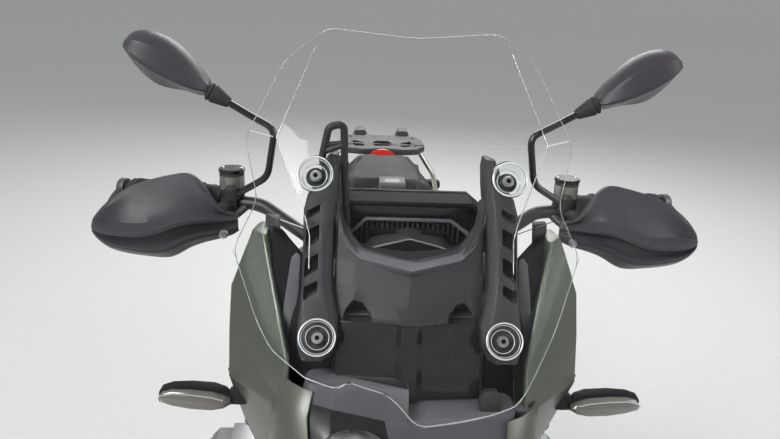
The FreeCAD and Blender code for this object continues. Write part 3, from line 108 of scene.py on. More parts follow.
class Finish:
    """A material that is being mixed."""

    def __init__(self, name):
        self.material = bpy.data.materials.new(name)
        self.material.use_nodes = True
        self.tree = self.material.node_tree
        self.tree.nodes.clear()
        self.place = self.add("ShaderNodeTexCoord", "Object")

    def add(self, kind, output=0, settings=None, sockets=None):
        """A node of a type, its settings first, then its sockets. Returns one of its outputs."""
        node = self.tree.nodes.new(kind)
        for name, setting in (settings or {}).items():
            if name == "stops":
                for index, (position, colour) in enumerate(setting):
                    stops = node.color_ramp.elements
                    stop = stops[index] if index < len(stops) else stops.new(position)
                    stop.position = position
                    stop.color = (*colour, 1.0) if len(colour) == 3 else colour
            else:
                setattr(node, name, setting)
        for name, item in (sockets or {}).items():
            plug(self.tree, node.inputs[name], item)
        return Value(self.tree, node.outputs[output])

    def noise(self, size, detail=3.0, stretch=None):
        """Noise whose patches are about size millimetres across, from 0 to 1."""
        place = self.place
        if stretch:
            place = self.add("ShaderNodeMapping", 0, {}, {"Vector": place, "Scale": stretch})
        return self.add("ShaderNodeTexNoise", "Fac", {}, {
            "Vector": place, "Scale": 1000.0 / size, "Detail": detail, "Roughness": 0.55})

    def cells(self, size):
        """Distance from the middles of cells about size millimetres across."""
        return self.add("ShaderNodeTexVoronoi", "Distance", {}, {
            "Vector": self.place, "Scale": 1000.0 / size, "Randomness": 1.0})

    def blended(self, share, first, second):
        """Colour between two colours."""
        return self.add("ShaderNodeMix", 2, {"data_type": "RGBA"}, {
            0: share, 6: colour4(first), 7: colour4(second)})

    def bump(self, height, depth):
        """Normal bent by a height that stands depth millimetres proud."""
        return self.add("ShaderNodeBump", "Normal", {}, {
            "Height": height, "Distance": depth * MM, "Strength": 1.0})

    def facing_up(self):
        """1 on faces that look up, 0 on upright and hanging ones."""
        normal = self.add("ShaderNodeNewGeometry", "Normal")
        split = self.add("ShaderNodeSeparateXYZ", "Z", {}, {0: normal})
        return split.held()

    def worn_edge(self):
        """1 along raised edges, where colour is lightened for wear and as a painted edge highlight."""
        pointed = self.add("ShaderNodeNewGeometry", "Pointiness")
        return ((pointed - 0.52) * 12.0).held()

    def closed(self, **sockets):
        """Principled surface at the end of the material."""
        named = {name.replace("_", " "): item for name, item in sockets.items()}
        shader = self.add("ShaderNodeBsdfPrincipled", 0, {}, named)
        return self.ended(shader)

    def ended(self, shader):
        """The material with a shader at its surface."""
        node = self.tree.nodes.new("ShaderNodeOutputMaterial")
        self.tree.links.new(shader.socket, node.inputs["Surface"])
        return self.material


def colour4(colour):
    """A colour with its alpha, or a value as it is."""
    if isinstance(colour, Value):
        return colour
    return (*tuple(colour)[:3], 1.0)


# Finishes: how each kind of surface is mixed. Plastic at least this rough hardly shines
LINER_ROUGHNESS = 0.6


def moulded(mix, row):
    """Spark-grained plastic with scuffs, a little dust on what looks up, and raised edges lightened for wear
    and as a painted highlight.
    """
    patches = mix.noise(60, 2)
    scuffs = mix.noise(9, 5, (1.0, 1.0, 4.0))
    grain = mix.noise(row.grain, 4) * 0.6 + mix.cells(row.grain * 1.6) * 0.5
    dust = mix.facing_up() * mix.noise(14, 4) * 0.35
    base = mix.blended(patches, row.colour, row.second)
    # Towards the pale colour along raised edges, as wear and painted highlight, and where dust lies on faces
    # that look up
    base = mix.blended(mix.worn_edge() * 0.35 + dust * 0.25, base, row.worn)
    rough = (scuffs - 0.5) * 0.25 + row.rough + dust * 0.3
    normal = mix.bump(grain, row.depth)
    shine = 0.22 if row.rough < LINER_ROUGHNESS else 0.05
    return mix.closed(Base_Color=base, Roughness=rough.held(), Metallic=row.metal, Normal=normal,
                      Specular_IOR_Level=shine, Coat_Weight=row.coat, Coat_Roughness=0.2)


def painted(mix, row):
    """Metallic lacquer with small flakes, a soft orange peel and edges lightened, partly rubbed and partly a
    painted highlight.
    """
    flakes = mix.add("ShaderNodeTexVoronoi", "Color", {}, {"Vector": mix.place, "Scale": 1000.0 / row.grain})
    glint = mix.add("ShaderNodeSeparateColor", 0, {}, {0: flakes})
    cloud = mix.noise(120, 2)
    base = mix.blended(glint * 0.7 + cloud * 0.3, row.colour, row.second)
    # Edges lightened: rubbed paint and a painted highlight
    base = mix.blended(mix.worn_edge() * 0.3, base, row.worn)
    rough = glint * 0.08 + mix.noise(7, 4) * 0.1 + (row.rough - 0.09)
    normal = mix.bump(mix.noise(2.2, 2), row.depth)
    return mix.closed(Base_Color=base, Roughness=rough, Metallic=row.metal, Normal=normal,
                      Coat_Weight=row.coat, Coat_Roughness=0.28)


def cast(mix, row):
    """Sand-cast metal with pores, patchy stains and bright edges, partly wear and partly a painted highlight.
    """
    sand = mix.noise(row.grain, 5)
    pores = (mix.cells(row.grain * 4.0) * 1.6).held()
    stain = mix.noise(35, 5)
    base = mix.blended(stain, row.colour, row.second)
    # Bright edges: wear and a painted highlight
    base = mix.blended(mix.worn_edge() * 0.6, base, row.worn)
    rough = stain * 0.2 + sand * 0.12 + (row.rough - 0.14)
    normal = mix.bump(sand * 0.7 + pores * 0.4, row.depth)
    return mix.closed(Base_Color=base, Roughness=rough, Metallic=row.metal, Normal=normal,
                      Coat_Weight=row.coat)


def brushed(mix, row):
    """Metal with fine lines, smears and bright edges, partly wear and partly a painted highlight."""
    lines = mix.noise(row.grain, 3, (1.0, 0.06, 1.0))
    smears = mix.noise(22, 4)
    base = mix.blended(lines * 0.6 + smears * 0.4, row.colour, row.second)
    # Bright edges: wear and a painted highlight
    base = mix.blended(mix.worn_edge() * 0.5, base, row.worn)
    rough = lines * 0.14 + smears * 0.16 + (row.rough - 0.15)
    normal = mix.bump(lines, row.depth)
    return mix.closed(Base_Color=base, Roughness=rough, Metallic=row.metal, Normal=normal,
                      Coat_Weight=row.coat)


def heated(mix, row):
    """Steel pipe with straw and blue bands that fade away from the heads."""
    split = mix.add("ShaderNodeSeparateXYZ", "Z", {}, {0: mix.place})
    heat = ((split - 0.27) * 9.0 + mix.noise(30, 4) * 0.5).held()
    tint = mix.add("ShaderNodeValToRGB", 0, {"stops": [
        (0.0, row.colour), (0.35, (0.42, 0.33, 0.2)), (0.6, (0.33, 0.22, 0.24)), (0.85, (0.2, 0.22, 0.34)),
        (1.0, row.second)]}, {0: heat})
    lines = mix.noise(row.grain, 3, (1.0, 0.1, 1.0))
    rough = lines * 0.16 + mix.noise(18, 4) * 0.15 + (row.rough - 0.15)
    return mix.closed(Base_Color=tint, Roughness=rough, Metallic=row.metal, Normal=mix.bump(lines, row.depth))


def ground_ring(mix, row):
    """Disc face ground in rings round its axle, darker where the pads never reach."""
    axle = Vector(row.centre)
    from_axle = mix.add("ShaderNodeVectorMath", 0, {"operation": "SUBTRACT"}, {0: mix.place, 1: axle})
    flat = mix.add("ShaderNodeVectorMath", 0, {"operation": "MULTIPLY"}, {0: from_axle, 1: (0.0, 1.0, 1.0)})
    radius = mix.add("ShaderNodeVectorMath", "Value", {"operation": "LENGTH"}, {0: flat})
    rings = mix.add("ShaderNodeTexNoise", "Fac", {"noise_dimensions": "1D"},
                    {"W": radius * 1500.0, "Scale": 1.0, "Detail": 4.0})
    swept = ((radius - row.swept) * 400.0).held()
    base = mix.blended(swept * (rings * 0.5 + 0.5), row.colour, row.second)
    rough = rings * 0.2 + (1 - swept) * 0.15 + (row.rough - 0.1)
    return mix.closed(Base_Color=base, Roughness=rough, Metallic=row.metal, Normal=mix.bump(rings, row.depth))


def rubbery(mix, row):
    """Dull rubber with fine grain and pale dust where it looks up."""
    dust = mix.facing_up() * mix.noise(20, 5)
    patches = mix.noise(45, 4)
    base = mix.blended(patches * 0.7 + dust * 0.4, row.colour, row.second)
    rough = mix.noise(6, 4) * 0.2 + (row.rough - 0.1)
    normal = mix.bump(mix.noise(row.grain, 5), row.depth)
    return mix.closed(Base_Color=base, Roughness=rough, Normal=normal, Specular_IOR_Level=0.35)


def vinyl(mix, row):
    """Seat cover with a pebbled grain and softer wear in the middle."""
    pebbles = mix.add("ShaderNodeTexVoronoi", "Distance", {"feature": "SMOOTH_F1"},
                      {"Vector": mix.place, "Scale": 1000.0 / row.grain})
    creases = mix.noise(26, 4)
    fine = mix.noise(0.7, 3)
    rubbed = mix.facing_up() * mix.noise(90, 2)
    base = mix.blended(creases * 0.6 + rubbed * 0.5, row.colour, row.second)
    rough = creases * 0.14 + (row.rough - 0.12) - rubbed * 0.12
    normal = mix.bump(pebbles + fine * 0.25, row.depth)
    return mix.closed(Base_Color=base, Roughness=rough, Normal=normal, Specular_IOR_Level=0.2)


def polished(mix, row):
    """Smooth gloss over a colour that hardly changes, with faint smears."""
    smears = mix.noise(25, 4, (1.0, 1.0, 3.0))
    base = mix.blended(smears, row.colour, row.second)
    rough = smears * 0.08 + row.rough
    return mix.closed(Base_Color=base, Roughness=rough, Metallic=row.metal, Coat_Weight=row.coat,
                      Coat_Roughness=0.05, Normal=mix.bump(mix.noise(row.grain, 2), row.depth))


def clear(mix, row):
    """Clear sheet: light passes straight to what stands behind it, and its face keeps its gloss."""
    smears = mix.noise(40, 5, (1.0, 1.0, 2.0))
    rough = ((smears - 0.55) * 0.12).held() + row.rough
    normal = mix.bump(mix.noise(90, 1), row.depth)
    glass = mix.add("ShaderNodeBsdfPrincipled", 0, {}, {
        "Base Color": colour4(row.colour), "Roughness": rough, "Transmission Weight": 1.0, "IOR": 1.2,
        "Normal": normal})
    through = mix.add("ShaderNodeBsdfTransparent", 0, {}, {"Color": colour4(row.second)})
    shadow = mix.add("ShaderNodeLightPath", "Is Shadow Ray")
    shader = mix.add("ShaderNodeMixShader", 0, {}, {0: shadow, 1: glass, 2: through})
    return mix.ended(shader)


class Row:
    """One line of the table of finishes, with its columns by name."""

    columns = ("kind", "colour", "second", "worn", "rough", "metal", "grain", "depth", "coat")

    def __init__(self, *values, **more):
        for name, value in zip(self.columns, values):
            setattr(self, name, value)
        for name, value in more.items():
            setattr(self, name, value)


# Finish: kind, colour, second colour, pale colour of dust, wear and painted edge highlight, roughness, metal,
# grain mm, depth mm, coat
FINISHES = {
    "tyre": Row(rubbery, (.022, .022, .023), (.06, .057, .054), None, .78, 0, 1.1, .06, 0),
    "wheel_metal": Row(brushed, (.42, .43, .45), (.6, .61, .63), (.8, .8, .82), .3, 1, .5, .01, .1),
    "disc_steel": Row(ground_ring, (.35, .35, .36), (.72, .72, .73), None, .3, 1, .5, .01, 0,
                      centre=(0, -.8095, .3255), swept=.118),
    "rear_disc_steel": Row(ground_ring, (.35, .35, .36), (.72, .72, .73), None, .3, 1, .5, .01, 0,
                           centre=(0, .7055, .336), swept=.104),
    "fork_metal": Row(brushed, (.06, .06, .065), (.1, .1, .105), (.3, .3, .3), .34, .7, .6, .01, .2),
    "slider_metal": Row(brushed, (.5, .42, .26), (.62, .53, .33), (.75, .68, .5), .22, 1, .5, .006, 0),
    "black_metal": Row(cast, (.028, .028, .031), (.05, .05, .054), (.16, .16, .17), .42, .4, .7, .03, .2),
    "caliper": Row(cast, (.14, .14, .148), (.22, .22, .23), (.5, .5, .5), .36, .7, .7, .03, .2),
    "black_plastic": Row(moulded, (.008, .008, .009), (.013, .0125, .014), (.032, .032, .034),
                         .52, 0, .4, .003, 0),
    "bar_metal": Row(brushed, (.016, .016, .017), (.028, .028, .030), (.09, .09, .09),
                     .42, .35, .5, .006, 0),
    "grip_rubber": Row(rubbery, (.018, .018, .019), (.035, .034, .034), None, .7, 0, .9, .05, 0),
    "guard_plastic": Row(moulded, (.040, .037, .042), (.052, .048, .055), (.10, .096, .105),
                         .38, 0, .4, .002, 0),
    "mirror_glass": Row(polished, (.82, .84, .86), (.78, .8, .83), None, .02, 1, 30, .001, 0),
    "engine_metal": Row(cast, (.20, .205, .21), (.33, .335, .34), (.62, .62, .63), .46, .85, .8, .05, 0),
    "radiator_metal": Row(cast, (.05, .05, .052), (.1, .1, .1), (.3, .3, .3), .5, .6, .5, .03, 0),
    "exhaust_steel": Row(brushed, (.42, .41, .39), (.58, .57, .54), (.75, .74, .7), .3, 1, .5, .008, 0),
    "header_steel": Row(heated, (.45, .44, .42), (.3, .3, .34), None, .3, 1, .5, .008, 0),
    "plate_metal": Row(brushed, (.4, .4, .41), (.56, .56, .57), (.75, .75, .76), .38, 1, .8, .02, 0),
    "graphite_paint": Row(painted, (.062, .068, .056), (.115, .125, .102), (.22, .235, .21),
                          .4, .5, .35, .004, .2),
    "seat_cover": Row(vinyl, (.011, .011, .0125), (.019, .0185, .021), None, .7, 0, 1.5, .05, 0),
    "boot_rubber": Row(rubbery, (.02, .02, .02), (.045, .043, .04), None, .7, 0, .9, .04, 0),
    "spring_metal": Row(polished, (.62, .62, .62), (.7, .7, .7), None, .25, .2, 3, .003, .6),
    "dark_plastic": Row(moulded, (.017, .0165, .019), (.023, .022, .025), (.048, .045, .05),
                        .5, 0, .4, .003, 0),
    "lamp_glass": Row(polished, (.3, .32, .34), (.4, .42, .44), None, .06, .5, 20, .002, .8),
    "screen_clear": Row(clear, (.97, .985, .98), (.90, .93, .92), None, .0, 0, 20, .02, 0),
    "rack_black": Row(cast, (.018, .018, .020), (.030, .030, .033), (.10, .10, .105), .5, .2, .8, .04, 0),
    "rail_metal": Row(brushed, (.5, .47, .42), (.68, .65, .58), (.85, .82, .76), .28, 1, .5, .006, 0),
    "lamp_red": Row(polished, (.55, .012, .010), (.68, .03, .02), None, .16, 0, 12, .003, .8),
    "indicator_lens": Row(polished, (.10, .095, .085), (.17, .16, .145), None, .08, .1, 14, .004, .9),
    "gloss_black": Row(polished, (.005, .005, .006), (.009, .009, .010), None, .12, 0, 40, .002, .15),
    "bright_steel": Row(brushed, (.62, .62, .63), (.8, .8, .8), (.9, .9, .9), .2, 1, .3, .004, 0),
    # Grey gloss of the lamp rings, and of the painted highlight lines on the screen's edge and creases
    "polished_edge": Row(polished, (.20, .22, .22), (.34, .36, .36), None, .08, 0, 14, .004, .6),
    # Bright gloss of the painted highlight rings round the screen's cups
    "cup_edge": Row(polished, (.55, .58, .58), (.72, .75, .75), None, .06, .2, 14, .004, .6),
    "bolt_steel": Row(brushed, (.30, .30, .31), (.44, .44, .45), (.6, .6, .6), .3, 1, .3, .004, 0),
    "lip_plastic": Row(moulded, (.058, .055, .062), (.078, .074, .082), (.12, .115, .125),
                       .44, 0, .4, .003, 0),
    # Near-black for black parts, and as painted shade in the bolts' sockets and behind the arms' slots
    "liner_black": Row(moulded, (.006, .006, .007), (.009, .009, .010), None, .6, 0, .4, .003, 0),
    # Grey of the seat stitches, and of the painted highlight on the shield's edge
    "panel_grey": Row(moulded, (.12, .125, .12), (.16, .165, .16), (.25, .25, .25), .5, .2, .6, .02, 0),
}
mixed = {}


def finish_of(name):
    """The material of a finish, mixed once."""
    if name not in mixed:
        row = FINISHES[name]
        row.worn = row.worn or row.colour
        mixed[name] = row.kind(Finish(name), row)
    return mixed[name]


# Meshes
def mesh_of(name, points, faces):
    """Mesh from points in millimetres and faces."""
    mesh = bpy.data.meshes.new(name)
    mesh.from_pydata([Vector(point) * MM for point in points], [], faces)
    mesh.validate()
    mesh.update()
    return mesh


def mesh_from(name, work):
    """Mesh of a bmesh, which is let go."""
    mesh = bpy.data.meshes.new(name)
    work.to_mesh(mesh)
    work.free()
    return mesh


def link(name, data):
    """A new object in the scene."""
    item = bpy.data.objects.new(name, data)
    bpy.context.scene.collection.objects.link(item)
    return item


def reworked(mesh, change):
    """Run a change on a mesh through bmesh."""
    work = bmesh.new()
    work.from_mesh(mesh)
    change(work)
    work.to_mesh(mesh)
    work.free()
    mesh.update()
    return mesh


def outward(work):
    """Turn all faces outwards."""
    bmesh.ops.recalc_face_normals(work, faces=work.faces)


def whole(work):
    """All that a bmesh holds."""
    return work.verts[:] + work.edges[:] + work.faces[:]


def plain_mesh(item):
    """Mesh of an object with its modifiers worked in."""
    graph = bpy.context.evaluated_depsgraph_get()
    return bpy.data.meshes.new_from_object(item.evaluated_get(graph), depsgraph=graph)


def settled(item):
    """The object with its modifiers worked into its mesh."""
    mesh = plain_mesh(item)
    item.modifiers.clear()
    item.data = mesh
    mesh.name = item.name
    return item


def taken(item):
    """The plain mesh of an object, which is removed."""
    mesh = plain_mesh(item)
    bpy.data.objects.remove(item)
    return mesh


def walled(item, thick, offset=-1.0):
    """Give an open sheet a wall, behind it, before it (offset 1) or half on each side (offset 0)."""
    wall = item.modifiers.new("Wall", "SOLIDIFY")
    wall.thickness = thick * MM
    wall.offset = offset
    return item


def rounded(item, levels):
    """Subdivide an object smoothly."""
    rounding = item.modifiers.new("Rounding", "SUBSURF")
    rounding.levels = rounding.render_levels = levels
    return item


def creased(item, weights):
    """Hold the lines that run along a skin, with a weight for each point of its rows."""
    crease = item.data.attributes.new("crease_edge", "FLOAT", "EDGE")
    for index, edge in enumerate(item.data.edges):
        first, second = [vertex % len(weights) for vertex in edge.vertices]
        if first == second:
            crease.data[index].value = weights[first]
    return item


def skin(name, rows, closed=False, caps=True):
    """Skin through rows of points: each row a ring when closed, or an open line."""
    count = len(rows[0])
    points = [point for row in rows for point in row]
    faces = []
    last = count if closed else count - 1
    for level in range(len(rows) - 1):
        for index in range(last):
            after = (index + 1) % count
            faces.append((level * count + index, level * count + after,
                          (level + 1) * count + after, (level + 1) * count + index))
    if closed and caps:
        faces.append(tuple(range(count))[::-1])
        faces.append(tuple(range((len(rows) - 1) * count, len(rows) * count)))
    return reworked(mesh_of(name, points, faces), outward)


def bar(name, outline, ends, axis=2):
    """Straight bar: an outline in two coordinates, carried along the third from end to end."""
    rows = []
    for end in ends:
        rows.append([(*point[:axis], end, *point[axis:]) for point in outline])
    return skin(name, rows, closed=True)


def both_sides(mesh):
    """Add the mirror image on the other side of the motorcycle."""
    def change(work):
        copy = bmesh.ops.duplicate(work, geom=whole(work))["geom"]
        for point in (item for item in copy if isinstance(item, bmesh.types.BMVert)):
            point.co.x = -point.co.x
        faces = [item for item in copy if isinstance(item, bmesh.types.BMFace)]
        bmesh.ops.reverse_faces(work, faces=faces)
    return reworked(mesh, change)


def joined(name, meshes):
    """One mesh of several."""
    work = bmesh.new()
    for mesh in meshes:
        work.from_mesh(mesh)
    return mesh_from(name, work)


def rod_mesh(name, start, end, radius, end_radius=None, sides=24):
    """Round bar or cone from point to point, in millimetres."""
    start, end = Vector(start) * MM, Vector(end) * MM
    run = end - start
    work = bmesh.new()
    bmesh.ops.create_cone(work, cap_ends=True, segments=sides, radius1=radius * MM,
                          radius2=(radius if end_radius is None else end_radius) * MM, depth=run.length)
    turn = run.to_track_quat("Z", "Y").to_matrix().to_4x4()
    bmesh.ops.transform(work, matrix=Matrix.Translation((start + end) / 2) @ turn, verts=work.verts)
    return mesh_from(name, work)


def turns(count, first=0.0):
    """Angles that part a circle evenly, from a share of a step on."""
    return [math.tau * (index + first) / count for index in range(count)]


def lathe(name, profile, start, direction, sides=48):
    """Turned piece: profile of (distance along, radius) in millimetres from start along a direction."""
    turn = Vector(direction).to_track_quat("Z", "Y")
    rows = []
    for along, radius in profile:
        reach = max(radius, 0.01)
        rows.append([Vector(start) + turn @ Vector((reach * math.cos(a), reach * math.sin(a), along))
                     for a in turns(sides)])
    return skin(name, rows, closed=True)


def ring_points(centre, way, radius, count=48):
    """Circle about a direction."""
    turn = Vector(way).to_track_quat("Z", "Y")
    return [tuple(Vector(centre) + turn @ Vector((radius * math.cos(a), radius * math.sin(a), 0)))
            for a in turns(count)]


def stepped(outline, step, closed=True):
    """Points along an outline, no more than a step apart."""
    corners = outline + outline[:1] if closed else outline
    points = []
    for first, second in zip(corners, corners[1:]):
        run = (Vector(second) - Vector(first)).length
        count = max(1, round(run / step))
        points += [tuple(Vector(first).lerp(Vector(second), index / count)) for index in range(count)]
    return points if closed else points + [tuple(corners[-1])]


def smooth_line(points, radius, steps=7):
    """The line through points with its corners rounded by arcs."""
    path = [Vector(point) for point in points]
    line = [path[0]]
    for before, corner, after in zip(path, path[1:], path[2:]):
        into, out = (corner - before).normalized(), (after - corner).normalized()
        reach = min(radius, 0.45 * (corner - before).length, 0.45 * (after - corner).length)
        first, last = corner - into * reach, corner + out * reach
        for index in range(steps + 1):
            share = index / steps
            line.append(first.lerp(corner, share).lerp(corner.lerp(last, share), share))
    return [tuple(point) for point in line + [path[-1]]]


def bead(name, points, radius, closed=False, sides=8, smooth=0):
    """Round bar, straight from point to point, or along a smooth curve by them."""
    curve = bpy.data.curves.new(name, "CURVE")
    curve.dimensions = "3D"
    curve.bevel_depth = radius * MM
    curve.bevel_resolution = max(1, sides // 4)
    curve.use_fill_caps = not closed
    if smooth:
        curve.resolution_u = smooth
    line = curve.splines.new("NURBS" if smooth else "POLY")
    line.points.add(len(points) - 1)
    for slot, point in zip(line.points, points):
        slot.co = (*[value * MM for value in point], 1.0)
    line.use_cyclic_u = closed
    if smooth:
        line.order_u = 3
        line.use_endpoint_u = True
    return taken(link(name, curve))


def surface_of(mesh):
    """Tree of a mesh's faces, to lay points on."""
    return BVHTree.FromPolygons([vertex.co for vertex in mesh.vertices],
                                [face.vertices for face in mesh.polygons])


def laid(points, surface, out=0.0):
    """Points in millimetres moved to the nearest place on a surface and out from it, with its normal."""
    found = [surface.find_nearest(Vector(point) * MM) for point in points]
    return [(tuple(place / MM + normal * out), tuple(normal)) for place, normal, index, distance in found]


# Pieces
def coated(item, finish):
    """Give an object one material."""
    item.data.materials.clear()
    item.data.materials.append(finish_of(finish))


def shaded(item, angle):
    """Smooth shading that stays sharp where faces meet at more than an angle."""
    item.data.shade_smooth()
    item.data.set_sharp_from_angle(angle=math.radians(angle))


def piece(name, shape, body, slot, replaces=(), finish=None, angle=30, bevel=0):
    """A finished piece of one or more meshes, put on its body and coated in its finish or else its slot's,
    with the nodes it stands for hidden.
    """
    item = link(name, joined(name, shape) if isinstance(shape, list) else shape)
    if bevel:
        softening = item.modifiers.new("Softening", "BEVEL")
        softening.width = bevel * MM
        softening.segments = 2
        softening.limit_method = "ANGLE"
        softening.angle_limit = math.radians(angle)
        softening.use_clamp_overlap = False
        settled(item)
    coated(item, finish or slot)
    shaded(item, angle)
    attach(item, body)
    if replaces:
        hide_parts(*replaces)
    return item


NODE_BODY = {node: body for body, names in frame["record"]["behaviour"]["bodies"].items() for node in names}
NODE_SLOT = {part["node"]: part["material_slot"] for part in frame["record"]["subparts"]}
# Nodes whose flat faces have holes, kept as triangles
PLAIN_NODES = ("luggage_rack", "radiators")
# Points of a node closer than this, in metres, are one
WELD = 2e-6
NODE_FINISH = {"exhaust_header": "header_steel", "rear_disc": "rear_disc_steel"}


def softened(node, width=1.0, angle=30, name=None, finish=None):
    """A copy of a node with its edges rounded, which stands for it."""
    mesh = frame["nodes"][node].data.copy()
    mesh.name = name or node + "_soft"

    def change(work):
        bmesh.ops.remove_doubles(work, verts=work.verts, dist=WELD)
        if node not in PLAIN_NODES:
            flat = math.radians(1.0)
            bmesh.ops.dissolve_limit(work, angle_limit=flat, verts=work.verts, edges=work.edges)

    reworked(mesh, change)
    width *= bpy.context.scene.motorcycle_sizes.edge
    return piece(mesh.name, mesh, NODE_BODY[node], NODE_SLOT[node], [node], finish, angle, width)


def trimmed(rows):
    """Nodes that only need their edges rounded: node, width of the rounding, sharpest angle kept."""
    for node, width, angle in rows:
        softened(node, width, angle)


# Repeats: four trees, each ends in plain geometry with its material set
class Growth:
    """A geometry tree that is being wired, with the sockets that it is given by name."""

    def __init__(self, name, inputs):
        self.tree = bpy.data.node_groups.new(name, "GeometryNodeTree")
        sockets = self.tree.interface
        sockets.new_socket("Marks", in_out="INPUT", socket_type="NodeSocketGeometry")
        for label, kind, default in inputs:
            socket = sockets.new_socket(label, in_out="INPUT", socket_type="NodeSocket" + kind)
            if default is not None:
                socket.default_value = default
        sockets.new_socket("Result", in_out="OUTPUT", socket_type="NodeSocketGeometry")
        self.given = self.tree.nodes.new("NodeGroupInput").outputs
        self.result = self.tree.nodes.new("NodeGroupOutput").inputs["Result"]

    def add(self, kind, settings=None, links=None, output=0):
        """A node with its settings and the sockets that it reads. Returns one of its outputs."""
        node = self.tree.nodes.new(kind)
        for name, setting in (settings or {}).items():
            setattr(node, name, setting)
        for name, source in (links or {}).items():
            if isinstance(source, bpy.types.NodeSocket):
                self.tree.links.new(source, node.inputs[name])
            else:
                node.inputs[name].default_value = source
        return node.outputs[output]

    def maths(self, operation, *terms):
        """A Math node on sockets and numbers."""
        return self.add("ShaderNodeMath", {"operation": operation}, dict(enumerate(terms)))

    def ended(self, geometry):
        """The tree, its geometry made real and given its material."""
        plain = self.add("GeometryNodeRealizeInstances", {}, {"Geometry": geometry})
        looks = {"Geometry": plain, "Material": self.given["Finish"]}
        self.tree.links.new(self.add("GeometryNodeSetMaterial", {}, looks), self.result)
        return self.tree

    def copied(self, points, turn, size=None):
        """The tree, with the shape on each point."""
        shape = self.add("GeometryNodeObjectInfo", {}, {"Object": self.given["Shape"]}, "Geometry")
        links = {"Points": points, "Instance": shape, "Rotation": turn}
        if size:
            links["Scale"] = size
        return self.ended(self.add("GeometryNodeInstanceOnPoints", {}, links))


SHAPE_INPUTS = [("Shape", "Object", None), ("Finish", "Material", None)]


def ring_tree():
    """Copies round an axle: each turns about X and stands off by the radius."""
    tree = Growth("RoundAxle", [*SHAPE_INPUTS, ("Count", "Int", 12), ("Radius", "Float", 0.1),
                                ("Centre", "Vector", (0, 0, 0)), ("First", "Float", 0.0)])
    given = tree.given
    pitch = tree.maths("DIVIDE", math.tau, given["Count"])
    angle = tree.maths("MULTIPLY_ADD", tree.add("GeometryNodeInputIndex"), pitch, given["First"])
    turn = tree.add("ShaderNodeCombineXYZ", {}, {"X": angle})
    reach = tree.add("ShaderNodeCombineXYZ", {}, {"Z": given["Radius"]})
    out = tree.add("ShaderNodeVectorRotate", {"rotation_type": "EULER_XYZ"}, {
        "Vector": reach, "Rotation": turn})
    place = tree.add("ShaderNodeVectorMath", {"operation": "ADD"}, {0: out, 1: given["Centre"]})
    points = tree.add("GeometryNodePoints", {}, {"Count": given["Count"], "Position": place})
    return tree.copied(points, turn)


def row_tree():
    """Copies in a straight row, a step apart."""
    tree = Growth("InARow", [*SHAPE_INPUTS, ("Count", "Int", 5), ("First", "Vector", (0, 0, 0)),
                             ("Step", "Vector", (0, 0, 0.01)), ("Turn", "Vector", (0, 0, 0))])
    given = tree.given
    index = tree.add("GeometryNodeInputIndex")
    shift = tree.add("ShaderNodeVectorMath", {"operation": "SCALE"}, {0: given["Step"], "Scale": index})
    place = tree.add("ShaderNodeVectorMath", {"operation": "ADD"}, {0: shift, 1: given["First"]})
    points = tree.add("GeometryNodePoints", {}, {"Count": given["Count"], "Position": place})
    return tree.copied(points, given["Turn"])


def marks_tree():
    """Copies on the points of a mesh, each with its own turn and size."""
    tree = Growth("OnMarks", SHAPE_INPUTS)
    turn = tree.add("GeometryNodeInputNamedAttribute", {"data_type": "FLOAT_VECTOR"}, {"Name": "turn"})
    size = tree.add("GeometryNodeInputNamedAttribute", {"data_type": "FLOAT"}, {"Name": "size"})
    points = tree.add("GeometryNodeMeshToPoints", {}, {"Mesh": tree.given["Marks"]})
    return tree.copied(points, turn, size)


def pleats_tree():
    """Bellows between two points: a round sleeve whose radius swells and shrinks."""
    tree = Growth("Pleats", [("Finish", "Material", None), ("Start", "Vector", (0, 0, 0)),
                             ("End", "Vector", (0, 0, 0.1)), ("Count", "Int", 5), ("Radius", "Float", 0.02),
                             ("Swell", "Float", 0.15)])
    given = tree.given
    line = tree.add("GeometryNodeCurvePrimitiveLine", {}, {"Start": given["Start"], "End": given["End"]})
    steps = tree.maths("MULTIPLY_ADD", given["Count"], 8.0, 1.0)
    dense = tree.add("GeometryNodeResampleCurve", {}, {"Curve": line, "Count": steps})
    phase = tree.maths("MULTIPLY", tree.add("GeometryNodeInputIndex"), math.tau / 8)
    swell = tree.maths("MULTIPLY_ADD", tree.maths("SINE", phase), given["Swell"], 1.0)
    swollen = tree.add("GeometryNodeSetCurveRadius", {}, {"Curve": dense, "Radius": swell})
    circle = tree.add("GeometryNodeCurvePrimitiveCircle", {}, {"Resolution": 32, "Radius": given["Radius"]})
    sleeve = tree.add("GeometryNodeCurveToMesh", {}, {
        "Curve": swollen, "Profile Curve": circle, "Fill Caps": True, "Scale": swell})
    return tree.ended(sleeve)


TREES = {"ring": ring_tree(), "row": row_tree(), "marks": marks_tree(), "pleats": pleats_tree()}


def grown(name, kind, body, slot, shape=None, finish=None, marks=None, angle=30, mirror=False, **values):
    """A piece from a tree, its inputs set by name, made plain and put on its body."""
    item = link(name, marks or bpy.data.meshes.new(name))
    growth = item.modifiers.new("Growth", "NODES")
    growth.node_group = TREES[kind]
    values["Finish"] = finish_of(finish or slot)
    if shape:
        values["Shape"] = link(name + "_shape", shape)
    for socket in TREES[kind].interface.items_tree:
        if socket.item_type == "SOCKET" and socket.in_out == "INPUT" and socket.name in values:
            growth[socket.identifier] = values[socket.name]
    settled(item)
    if shape:
        bpy.data.objects.remove(values["Shape"])
    shaded(item, angle)
    if mirror:
        both_sides(item.data)
    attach(item, body)
    return item


